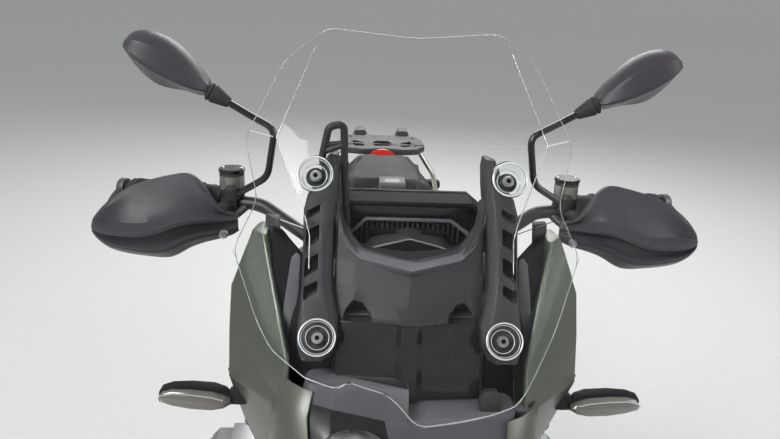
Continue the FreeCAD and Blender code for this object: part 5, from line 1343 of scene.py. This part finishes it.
def pad(node):
    """Foam under a stretched cover: the solid's skin, softened, blown up a little and held to a limit."""
    mesh = frame["nodes"][node].data.copy()
    item = link(node + "_pad", mesh)

    def drawn_in(work):
        bmesh.ops.remove_doubles(work, verts=work.verts, dist=WELD)
        outward(work)

    reworked(mesh, drawn_in)
    foam = item.modifiers.new("Voxels", "REMESH")
    foam.mode = "VOXEL"
    foam.voxel_size = FOAM_CELL * MM
    smooth = item.modifiers.new("Smooth", "SMOOTH")
    smooth.factor = 0.5
    smooth.iterations = 14
    settled(item)
    start = [vertex.co.copy() for vertex in item.data.vertices]
    cloth = item.modifiers.new("Cover", "CLOTH")
    cloth.settings.use_pressure = True
    cloth.settings.uniform_pressure_force = COVER_PRESSURE
    cloth.settings.effector_weights.gravity = 0.0
    cloth.settings.quality = 5
    for step in range(COVER_FRAMES):
        bpy.context.scene.frame_set(step + 1)
    settled(item)
    for vertex, before in zip(item.data.vertices, start):
        moved = vertex.co - before
        if moved.length > COVER_SWELL * MM:
            vertex.co = before + moved.normalized() * COVER_SWELL * MM
    settled(rounded(item, 1))
    coated(item, "seat_cover")
    item.data.shade_smooth()
    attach(item, NODE_BODY[node])
    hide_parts(node)
    return item


def seats():
    """Rider's and pillion's seats with piped, stitched seams."""
    stitch = rod_mesh("stitch", (-2.2, 0, 0.4), (2.2, 0, 0.4), 0.7, sides=6)
    for node, route in SEAT_SEAMS.items():
        surface = surface_of(pad(node).data)
        line = laid(stepped(route, 8, closed=False), surface, 0.4)
        piping = bead("piping", [place for place, normal in line], 1.7)
        piece(node + "_piping", both_sides(piping), "chassis", "seat_cover", finish="boot_rubber", angle=60)
        inside = stepped([(x - 7, y, z) for x, y, z in route], 6, closed=False)
        rows = [(place, normal, 1.0) for place, normal in laid(inside, surface, 0.2)]
        grown(node + "_stitches", "marks", "chassis", "seat_cover", shape=stitch, finish="panel_grey",
              marks=marked("stitches", rows), mirror=True)


def tail():
    """Tail panels, arch lamp, plate hanger, subframe, rack and rails, with their screws."""
    trimmed([("tail_cowl", 0.8, 30), ("plate_hanger", 1.2, 30), ("pannier_rails", 1.0, 50),
             ("subframe", 0.8, 50), ("luggage_rack", 1.2, 30)])
    softened("tail_lamp", 1.6, 30)
    cap = [((104 * side, y, 985), (0, 0, 1), 1.3) for side in (-1, 1) for y in (845, 955)]
    screws("rack_screws", "chassis", cap, "black_metal", "rack_black", 5.0, 3.0)
    sides = [((141, 430, 790), (1, 0, .1), 1.0), ((131, 640, 845), (1, 0, .1), 1.0),
             ((121, 820, 895), (1, 0, .1), 1.0)]
    screws("tail_screws", "chassis", mirrored_rows(sides), "black_metal", "black_metal", 5.0, 2.4)


# Wheels: axle place, tyre radius, tyre width, bead radius, rim width
FRONT_WHEEL = ((0, -809.5, 325.5), 325.5, 120, 251.7, 76)
REAR_WHEEL = ((0, 705.5, 336), 318, 170, 228, 114)
# Tread blocks of one pitch, as shares of the half width and of the pitch: inner x, outer x, from, to, slant
TREAD = [(0.02, 0.24, 0.04, 0.52, 0.20), (0.30, 0.56, 0.30, 0.86, 0.22), (0.62, 0.84, 0.02, 0.46, 0.10)]
# Crown of a tyre: how far it drops, as a share of the width, out to a share of the width
CROWN_DROP = 0.13
CROWN_REACH = 0.42


def crown(x, radius, width):
    """Height of the crown of a tyre at a place across."""
    return radius - CROWN_DROP * width * (x / (CROWN_REACH * width)) ** 2


def tread_shape(radius, width, pitch, depth):
    """The blocks of one pitch, on both sides, their tops on the crown."""
    meshes = []
    half = width / 2
    for side in (-1, 1):
        shift = 0 if side > 0 else pitch / 2
        for inner, outer, start, end, slant in TREAD:
            rows = []
            for share in (0, 0.5, 1):
                x = half * (inner + (outer - inner) * share)
                lean = slant * pitch * share
                top = crown(x, radius, width) - radius
                row = []
                for y, rise in ((start * pitch - .8, -depth - 1), (start * pitch + .4, 0),
                                (end * pitch - .4, 0), (end * pitch + .8, -depth - 1)):
                    angle = (shift + y + lean) / radius
                    high = radius + top + rise
                    row.append((side * x, high * math.sin(angle), high * math.cos(angle) - radius))
                rows.append(row)
            meshes.append(skin("block", rows, closed=True))
    return joined("blocks", meshes)


def tyre(name, node, body, wheel, count, depth):
    """Carcass with a rim ring and a ribbed sidewall, and its tread by the pitch."""
    (x0, y0, z0), radius, width, bead_radius, rim_width = wheel
    belly = (bead_radius + radius) / 2 - 6
    side = [(rim_width / 2 - 1, bead_radius - 2), (rim_width / 2 + 2, bead_radius + 6),
            (width * 0.47, (bead_radius + belly) / 2), (width * 0.497, belly - 8), (width * 0.5, belly),
            (width * 0.492, belly + 14), (width * 0.47, crown(width * CROWN_REACH, radius, width) - 8)]
    top = [(width * share, crown(width * share, radius, width) - depth)
           for share in (CROWN_REACH, 0.36, 0.28, 0.2, 0.1, 0)]
    half = side + top
    profile = half + [(-x, r) for x, r in reversed(half[:-1])]
    rows = [[(x0 + x, y0 + r * math.sin(angle), z0 + r * math.cos(angle)) for x, r in profile]
            for angle in turns(128)]
    rows.append(rows[0])
    mesh = skin(name, rows)
    reworked(mesh, lambda work: bmesh.ops.remove_doubles(work, verts=work.verts, dist=1e-5))
    reworked(mesh, outward)
    piece(name, mesh, body, "tyre", [node], angle=40)
    pitch = math.tau * radius / count
    centre = Vector((x0, y0, z0)) * MM
    grown(name + "_tread", "ring", body, "tyre", shape=tread_shape(radius, width, pitch, depth), Count=count,
          Radius=radius * MM, Centre=centre, angle=40)
    section = ((.498, -1.0), (.498, 1.0), (.508, 0.6), (.508, -0.6))
    rib = skin("rib", [[(width * (near - .002 * (z > 0)), y, z) for near, y in section] for z in (-9, 8)],
               closed=True)
    grown(name + "_ribs", "ring", body, "tyre", shape=rib, mirror=True, Count=96, Radius=(belly + 6) * MM,
          Centre=centre)


def wheels():
    """Tyres with tread, and the nipples of the rims."""
    depth = bpy.context.scene.motorcycle_sizes.tread
    tyre("front_tyre_carcass", "front_tyre", "front_wheel", FRONT_WHEEL, 44, depth)
    tyre("rear_tyre_carcass", "rear_tyre", "rear_wheel", REAR_WHEEL, 40, depth)
    nipple = rod_mesh("nipple", (0, 0, -7), (0, 0, 5), 4.2, 3.2, sides=10)
    for name, axle, bed, spread in (("front", FRONT_WHEEL[0], 221, 15), ("rear", REAR_WHEEL[0], 197, 22)):
        for number, x in enumerate((-spread, spread)):
            grown(f"{name}_nipples_{number}", "ring", name + "_wheel", "wheel_metal", shape=nipple, Count=16,
                  Radius=bed * MM, Centre=Vector((x, *axle[1:])) * MM, First=-(math.tau / 32 * number),
                  finish="bright_steel")


# Discs: wheel, axle, x of each face and radii of the rings of holes, then the pins' count, radius and
# first angle
DISCS = [("front", FRONT_WHEEL[0], (61.5, -66.5), (146, 136, 126), 8, 118, .39),
         ("rear", REAR_WHEEL[0], (50,), (130, 120, 112), 6, 104, .52)]


def brakes():
    """Holes and pins of the discs, and the front calipers."""
    dot = rod_mesh("dot", (-0.4, 0, 0), (5.4, 0, 0), 3.1, sides=12)
    pin = rod_mesh("pin", (-1.5, 0, 0), (6.5, 0, 0), 5.5, sides=16)
    for name, axle, faces, radii, count, pin_radius, first in DISCS:
        centres = [Vector((x, *axle[1:])) * MM for x in faces]
        for number, centre in enumerate(centres):
            for row, radius in enumerate(radii):
                grown(f"{name}_disc_holes_{number}_{row}", "ring", name + "_wheel", "disc_steel", shape=dot,
                      Count=24, Radius=radius * MM, Centre=centre, First=row * 0.09, finish="black_metal")
        for number, centre in enumerate(centres):
            grown(f"{name}_disc_pins_{number}", "ring", name + "_wheel", "disc_steel", shape=pin, Count=count,
                  Radius=pin_radius * MM, Centre=centre, First=first, finish="bright_steel")
    softened("front_calipers", 1.6, 40)


# Fork: lean of the steering axis, its direction and how far the legs stand from the middle
STEER_LEAN = math.radians(26)
STEER_UP = Vector((0, math.sin(STEER_LEAN), math.cos(STEER_LEAN)))
FORK_SPREAD = 108


def steered(x, y, z):
    """World place in millimetres of a point in the steering frame."""
    return (x, -471.5 + y * math.cos(STEER_LEAN) + z * math.sin(STEER_LEAN),
            900 - y * math.sin(STEER_LEAN) + z * math.cos(STEER_LEAN))


def fork():
    """Fork legs with seals and caps, yokes with pinch bolts and stem nut, mudguard with its screws."""
    trimmed([("fork_legs", 1.4, 40), ("fork_yokes", 2.5, 35), ("front_mudguard", 1.2, 35)])
    seals, caps = [], []
    for x in (-FORK_SPREAD, FORK_SPREAD):
        seals.append(lathe("seal", [(0, 21.6), (0, 27), (3, 29), (14, 29), (17, 27), (17, 21.6)],
                           steered(x, -30, -266), STEER_UP, 40))
        caps.append(lathe("cap", [(0, 0), (0, 17), (6, 17), (7.5, 15.5), (7.5, 8), (10, 7), (10, 0)],
                          steered(x, -30, 180.6), STEER_UP, 32))
    piece("fork_seals", seals, "steering", "fork_metal", finish="boot_rubber", angle=35)
    piece("fork_caps", caps, "steering", "fork_metal", finish="slider_metal", angle=35)
    pinch = [(steered(side * 148, -10, z), (side, 0, 0), 1.2) for side in (-1, 1) for z in (-12, -26)]
    screws("yoke_screws", "steering", pinch, "bright_steel", "bar_metal", 4.5, 4.0)
    nut = lathe("nut", [(0, 0), (0, 17), (2, 18.5), (7, 18.5), (9, 16), (9, 9), (7, 8), (7, 0)],
                steered(0, 0, 172), STEER_UP, 6)
    piece("stem_nut", nut, "steering", "bar_metal", finish="bright_steel", angle=35)
    guard = [(steered(side * 73, y, -396), (side, 0, 0), 1.1) for side in (-1, 1) for y in (-46, -10)]
    screws("mudguard_screws", "steering", guard, "bright_steel", "dark_plastic", 4.5, 3.0)


def controls():
    """Grips with ridges, levers, reservoirs with their lids, and switch blocks with buttons."""
    softened("handlebar", 1.0, 45)
    softened("bar_controls", 1.0, 40)
    first, run = along_bar(118)
    turn = run.to_track_quat("Z", "Y")
    ridge = skin("ridge", [[turn @ Vector((r * math.cos(a), r * math.sin(a), z)) for a in turns(28)]
                           for z, r in ((-1.3, 16.8), (-0.9, 18.3), (0.9, 18.3), (1.3, 16.8))], closed=True)
    grown("grip_ridges", "row", "steering", "grip_rubber", shape=ridge, mirror=True, Count=27,
          First=first * MM, Step=run * 4.2 * MM, angle=50)
    base = along_bar(54)[0]
    lid = lathe("lid", [(0, 0), (0, 21.5), (3, 21.5), (5, 19.5), (5, 0)], base + Vector((0, 0, 52)),
                (0, 0, 1), 40)
    piece("reservoir_lids", both_sides(lid), "steering", "bar_metal", finish="gloss_black", angle=35)
    pot = lathe("pot", [(0, 20.4), (22, 20.4), (22, 19)], base + Vector((0, 0, 24)), (0, 0, 1), 40)
    piece("reservoir_windows", both_sides(pot), "steering", "bar_metal", finish="indicator_lens", angle=35)
    marks = [(tuple(base + Vector((15 * c, 15 * s, 57))), (0, 0, 1), 1.0) for c, s in ((1, 0), (-1, 0))]
    screws("lid_screws", "steering", mirrored_rows(marks), "bright_steel", "bar_metal", 3.0, 1.6)
    buttons = []
    for along, lift, size in ((78, 12, 6), (90, 12, 5), (84, -4, 6), (98, 4, 5)):
        place = along_bar(along)[0]
        buttons.append(lathe("button", [(0, 0), (0, size), (3.2, size), (4.2, size - 1), (4.2, 0)],
                             place + Vector((0, 21.5, lift)), (0, 1, 0.1), 20))
    piece("switch_buttons", both_sides(joined("switch_buttons", buttons)), "steering", "bar_metal",
          finish="black_plastic", angle=35)


def chassis():
    """Frame with its bolts, radiators with their fins, skid plate, footrests and stands."""
    trimmed([("main_frame", 1.2, 50), ("radiators", 1.6, 40), ("skid_plate", 1.0, 30), ("footrests", 0.9, 40),
             ("centre_stand", 1.0, 45), ("side_stand", 1.2, 45)])
    fin = bar("fin", ((-24, -.6), (24, -.6), (24, .6), (-24, .6)), (-.5, .5))
    grown("radiator_fins", "row", "chassis", "radiator_metal", shape=fin, mirror=True, Count=42,
          First=(.144, -.3965, .655), Step=(0, 0, .003), finish="exhaust_steel")
    plate = [((side * 100, -200 + 60 * i, 221), (0, 0, -1), 1.3) for side in (-1, 1) for i in range(4)]
    screws("skid_screws", "chassis", plate, "bright_steel", "plate_metal", 5.0, 2.0)
    pivots = [((side * 104.5, y, z), (side, 0, 0), 1.8) for side in (-1, 1)
              for y, z in ((170, 560), (130, 480), (190, 400))]
    screws("frame_screws", "chassis", pivots, "bright_steel", "black_metal", 5.0, 3.4)


def engine():
    """Crankcase with flange, ribs and bolts, barrels, heads with ribs and bolts, silencer with bands."""
    trimmed([("crankcase", 2.5, 30), ("cylinders", 0.6, 40), ("silencer", 2.0, 30)])
    ring = [((82 * math.cos(a), -360.5, 480 + 82 * math.sin(a)), AHEAD, 1.3) for a in turns(10, .5)]
    screws("cover_screws", "chassis", ring, "bright_steel", "engine_metal", 5.0, 3.0)
    flange = [(146, 352), (146, 600), (132, 612), (-132, 612), (-146, 600), (-146, 352), (-132, 340),
              (132, 340)]
    piece("case_flange", bar("case_flange", flange, (-47, -35), 1), "chassis", "engine_metal", bevel=1.5)
    joint_screws = [((146, -41, z), (1, 0, 0), 1.1) for z in (372, 430, 490, 550, 588)]
    screws("case_screws", "chassis", mirrored_rows(joint_screws), "bright_steel", "engine_metal", 4.5, 3.0)
    bars = []
    for index in range(6):
        y = -18 + 19 * index
        outline = [(138, y - 3), (145, y - 1.5), (145, y + 1.5), (138, y + 3)]
        bars.append(bar("bar", outline, (400 + 6 * index, 575 - 4 * index)))
    piece("case_ribs", both_sides(joined("case_ribs", bars)), "chassis", "engine_metal", bevel=0.8)
    top = [(70, -50), (86, -30), (86, 30), (70, 50), (-70, 50), (-86, 30), (-86, -30), (-70, -50)]
    levels = ((585, 1.0), (620, 1.0), (627, 0.92))
    lid = [[(x * grow, -20 + y * grow, z) for x, y in top] for z, grow in levels]
    piece("starter_cover", skin("starter_cover", lid, closed=True), "chassis", "engine_metal",
          finish="black_metal", bevel=2.0)
    heads = [((366.5, -150 + dy, 490 + dz), (1, 0, 0), 1.7) for dy in (-52, 52) for dz in (-58, 58)]
    screws("head_screws", "chassis", mirrored_rows(heads), "black_metal", "engine_metal", 5.0, 3.4)
    rib = bar("rib", ((-1.5, 0), (1.5, 0), (0.9, 5), (-0.9, 5)), (-44, 44), 1)
    upright = Matrix.Rotation(math.pi / 2, 3, "Y")
    reworked(rib, lambda work: bmesh.ops.rotate(work, verts=work.verts, matrix=upright))
    grown("head_ribs", "row", "chassis", "engine_metal", shape=rib, mirror=True, Count=5,
          First=(.3655, -.150, .458), Step=(0, 0, .016))
    plug = lathe("plug", [(0, 0), (0, 16), (8, 16), (10, 14), (10, 9), (12, 9), (12, 0)], (0, -360, 480),
                 AHEAD, 6)
    piece("cover_plug", plug, "chassis", "engine_metal", finish="bright_steel", angle=35)
    start, end = Vector((-192, 400, 430)), Vector((-204, 820, 560))
    way = (end - start).normalized()
    bands = [lathe("band", [(at, 58.3), (at, 60.4), (at + 12, 60.4), (at + 12, 58.3)], start, way, 64)
             for at in (14, 395)]
    piece("silencer_bands", bands, "chassis", "exhaust_steel", finish="black_metal", angle=35)
    lip = lathe("lip", [(30, 26.4), (30, 35), (42, 33), (44, 29), (44, 26.4)], end, way, 48)
    piece("silencer_lip", lip, "chassis", "exhaust_steel", finish="bright_steel", angle=35)


def rear():
    """Swingarm with the final drive's bolts, shock with its coil, boot of the shaft."""
    softened("swingarm", 2.4, 35)
    ring = [((152.3, 705.5 + 62 * math.cos(a), 336 + 62 * math.sin(a)), (1, 0, 0), 1.4) for a in turns(8)]
    screws("drive_screws", NODE_BODY["swingarm"], ring, "bright_steel", "black_metal", 5.0, 3.0)
    top, foot = Vector((0, 196, 596)), Vector((0, 262, 408))
    way = (foot - top).normalized()
    side, across = Vector((1, 0, 0)), way.cross(Vector((1, 0, 0)))
    rounds, first, last, sides = 6.5, 38, 162, 14
    coil = []
    for index in range(int(rounds * sides) + 1):
        angle = math.tau * index / sides
        along = first + (last - first) * index / (rounds * sides)
        coil.append(tuple(top + way * along + (side * math.cos(angle) + across * math.sin(angle)) * 29))
    piece("shock_coil", bead("coil", coil, 5.6, sides=12), NODE_BODY["shock"], "spring_metal", ["shock"],
          angle=60)
    profile = [(-6, 0), (-6, 17), (22, 17), (22, 38), (32, 39), (34, 30), (36, 16), (120, 16), (120, 9),
               (164, 9), (164, 36), (172, 36), (174, 16), (196, 16), (196, 0)]
    body = lathe("body", profile, top, way)
    eye = rod_mesh("eye", (-17, 196, 596), (17, 196, 596), 18)
    piece("shock_body", [body, eye], NODE_BODY["shock"], "spring_metal", finish="black_metal", angle=35)
    boot = grown("shaft_bellows", "pleats", NODE_BODY["shaft_boot"], "boot_rubber", Start=(.132, .1025, .4),
                 End=(.132, .2155, .4), Count=5, Radius=.0215, Swell=.12, angle=60)
    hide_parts("shaft_boot")


# Stage: the camera's place in metres
CAMERA_PLACE = Vector((-0.0672, -1.4239, 1.5275))
# Yaw, pitch and roll in degrees, focal length and photo width in pixels, and the sensor in millimetres
CAMERA_ANGLES = (2.59, 19.28, 2.45)
FOCAL_PIXELS = 727.0
PHOTO_WIDTH = 780
SENSOR = 36
# Half side of the floor in millimetres, and the room's light
FLOOR_REACH = 120000
ROOM_COLOUR = (0.80, 0.81, 0.82, 1)
ROOM_STRENGTH = 0.55
# Lamp: place, aim, size, power
LAMPS = [
    ("key", (-2.6, -3.0, 3.8), (0, 0, 0.8), (2.0, 2.0), 190),
    ("fill", (3.4, -1.4, 2.6), (0, 0, 0.8), (2.4, 2.4), 60),
    ("back", (0.5, 3.6, 3.4), (0, 0.2, 0.7), (3.0, 2.0), 130),
]


def stage(scene):
    """Pale floor, soft room, three lamps and the camera."""
    ends = (-FLOOR_REACH, FLOOR_REACH)
    ground = link("floor", skin("floor", [[(x, y, 0) for x in ends] for y in ends]))
    mix = Finish("pale_floor")
    tone = mix.blended(mix.noise(30, 3), (.60, .60, .595), (.66, .66, .655))
    mix.closed(Base_Color=tone, Roughness=0.6)
    ground.data.materials.append(mix.material)

    world = bpy.data.worlds.new("soft_room")
    scene.world = world
    world.use_nodes = True
    sky = world.node_tree.nodes["Background"].inputs
    sky["Color"].default_value = ROOM_COLOUR
    sky["Strength"].default_value = ROOM_STRENGTH
    for name, place, aim, size, power in LAMPS:
        lamp = bpy.data.lights.new(name, "AREA")
        lamp.shape = "RECTANGLE"
        lamp.size, lamp.size_y = size
        lamp.energy = power
        item = bpy.data.objects.new(name, lamp)
        scene.collection.objects.link(item)
        item.location = place
        item.rotation_euler = (Vector(aim) - Vector(place)).to_track_quat("-Z", "Y").to_euler()

    camera = bpy.data.cameras.new("camera")
    camera.sensor_width = SENSOR
    camera.lens = FOCAL_PIXELS / PHOTO_WIDTH * SENSOR
    camera.clip_start = 0.05
    item = bpy.data.objects.new("camera", camera)
    scene.collection.objects.link(item)
    yaw, pitch, roll = (math.radians(value) for value in CAMERA_ANGLES)
    ahead = Vector((math.sin(yaw) * math.cos(pitch), math.cos(yaw) * math.cos(pitch), -math.sin(pitch)))
    level = Vector((math.cos(yaw), -math.sin(yaw), 0))
    upright = level.cross(ahead)
    right = math.cos(roll) * level + math.sin(roll) * upright
    up = -math.sin(roll) * level + math.cos(roll) * upright
    item.matrix_world = Matrix.Translation(CAMERA_PLACE) @ Matrix((right, up, -ahead)).transposed().to_4x4()
    scene.camera = item
    scene.view_settings.view_transform = "Standard"


# What a user would change
class MotorcycleSizes(bpy.types.PropertyGroup):
    """Sizes and colours of the dress."""

    edge: FloatProperty(name="Edge", description="Share of the planned rounding of edges", default=1.0,
                        min=0.2, max=2.0, subtype="FACTOR")
    tread: FloatProperty(name="Tread", description="Depth of the tread blocks in millimetres", default=6.0,
                         min=2.0, max=9.0)
    paint: FloatVectorProperty(name="Paint", description="Colour of the painted panels", size=3,
                               subtype="COLOR", default=FINISHES["graphite_paint"].colour, min=0.0, max=1.0)
    plastic: FloatVectorProperty(name="Plastic", description="Colour of the moulded panels", size=3,
                                 subtype="COLOR", default=FINISHES["dark_plastic"].colour, min=0.0, max=1.0)


class MOTORCYCLE_OT_stage(bpy.types.Operator):
    """Floor, lamps, room and camera"""

    bl_idname = "motorcycle.stage"
    bl_label = "Stage"

    def execute(self, context):
        stage(context.scene)
        return {"FINISHED"}


class MOTORCYCLE_OT_screen(bpy.types.Operator):
    """Clear screen with its cups and bolts, on slotted arms"""

    bl_idname = "motorcycle.screen"
    bl_label = "Screen and arms"

    def execute(self, context):
        screen()
        arms()
        return {"FINISHED"}


class MOTORCYCLE_OT_cockpit(bpy.types.Operator):
    """Front cowl, display, lever and trim round the nose"""

    bl_idname = "motorcycle.cockpit"
    bl_label = "Cockpit"

    def execute(self, context):
        cowl()
        display()
        fins()
        return {"FINISHED"}


class MOTORCYCLE_OT_handlebar(bpy.types.Operator):
    """Handlebar with grips and controls, handguards and mirrors"""

    bl_idname = "motorcycle.handlebar"
    bl_label = "Handlebar"

    def execute(self, context):
        controls()
        handguards()
        guard_frames()
        mirrors()
        return {"FINISHED"}


class MOTORCYCLE_OT_fairing(bpy.types.Operator):
    """Side panels, beak, headlights and indicators"""

    bl_idname = "motorcycle.fairing"
    bl_label = "Fairing and lamps"

    def execute(self, context):
        fairing()
        headlights()
        indicators()
        return {"FINISHED"}


class MOTORCYCLE_OT_tank(bpy.types.Operator):
    """Fuel tank and its cap"""

    bl_idname = "motorcycle.tank"
    bl_label = "Tank"

    def execute(self, context):
        tank()
        return {"FINISHED"}


class MOTORCYCLE_OT_seats(bpy.types.Operator):
    """Padded seats with their seams"""

    bl_idname = "motorcycle.seats"
    bl_label = "Seats"

    def execute(self, context):
        seats()
        return {"FINISHED"}


class MOTORCYCLE_OT_tail(bpy.types.Operator):
    """Tail panels, lamp, rack, rails and plate hanger"""

    bl_idname = "motorcycle.tail"
    bl_label = "Tail and rack"

    def execute(self, context):
        tail()
        return {"FINISHED"}


class MOTORCYCLE_OT_wheels(bpy.types.Operator):
    """Tyres, rims, discs and calipers"""

    bl_idname = "motorcycle.wheels"
    bl_label = "Wheels and brakes"

    def execute(self, context):
        wheels()
        brakes()
        return {"FINISHED"}


class MOTORCYCLE_OT_fork(bpy.types.Operator):
    """Fork, yokes and front mudguard"""

    bl_idname = "motorcycle.fork"
    bl_label = "Fork"

    def execute(self, context):
        fork()
        return {"FINISHED"}


class MOTORCYCLE_OT_chassis(bpy.types.Operator):
    """Frame, radiators, skid plate, footrests and stands"""

    bl_idname = "motorcycle.chassis"
    bl_label = "Chassis"

    def execute(self, context):
        chassis()
        return {"FINISHED"}


class MOTORCYCLE_OT_engine(bpy.types.Operator):
    """Engine, header and silencer"""

    bl_idname = "motorcycle.engine"
    bl_label = "Engine"

    def execute(self, context):
        engine()
        return {"FINISHED"}


class MOTORCYCLE_OT_rear(bpy.types.Operator):
    """Swingarm, shock absorber and shaft boot"""

    bl_idname = "motorcycle.rear"
    bl_label = "Rear suspension"

    def execute(self, context):
        rear()
        return {"FINISHED"}


STEPS = (MOTORCYCLE_OT_stage, MOTORCYCLE_OT_screen, MOTORCYCLE_OT_cockpit, MOTORCYCLE_OT_handlebar,
         MOTORCYCLE_OT_fairing, MOTORCYCLE_OT_tank, MOTORCYCLE_OT_seats, MOTORCYCLE_OT_tail,
         MOTORCYCLE_OT_wheels, MOTORCYCLE_OT_fork, MOTORCYCLE_OT_chassis, MOTORCYCLE_OT_engine,
         MOTORCYCLE_OT_rear)


class MOTORCYCLE_PT_dress(bpy.types.Panel):
    """The steps of the dress, in order"""

    bl_idname = "MOTORCYCLE_PT_dress"
    bl_label = "Motorcycle dress"
    bl_space_type = "VIEW_3D"
    bl_region_type = "UI"
    bl_category = "Motorcycle"

    def draw(self, context):
        for name in ("edge", "tread", "paint", "plastic"):
            self.layout.prop(context.scene.motorcycle_sizes, name)
        for step in STEPS:
            self.layout.operator(step.bl_idname)


def register():
    for one in (MotorcycleSizes, *STEPS, MOTORCYCLE_PT_dress):
        bpy.utils.register_class(one)
    bpy.types.Scene.motorcycle_sizes = PointerProperty(type=MotorcycleSizes)


def unregister():
    del bpy.types.Scene.motorcycle_sizes
    for one in reversed((MotorcycleSizes, *STEPS, MOTORCYCLE_PT_dress)):
        bpy.utils.unregister_class(one)


def main():
    register()
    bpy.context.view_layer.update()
    FINISHES["graphite_paint"].colour = tuple(bpy.context.scene.motorcycle_sizes.paint)
    FINISHES["dark_plastic"].colour = tuple(bpy.context.scene.motorcycle_sizes.plastic)
    for step in STEPS:
        group, name = step.bl_idname.split(".")
        getattr(getattr(bpy.ops, group), name)()
    for node, item in frame["nodes"].items():
        if not item.hide_render:
            coated(item, NODE_FINISH.get(node, NODE_SLOT[node]))


if __name__ == "__main__":
    main()
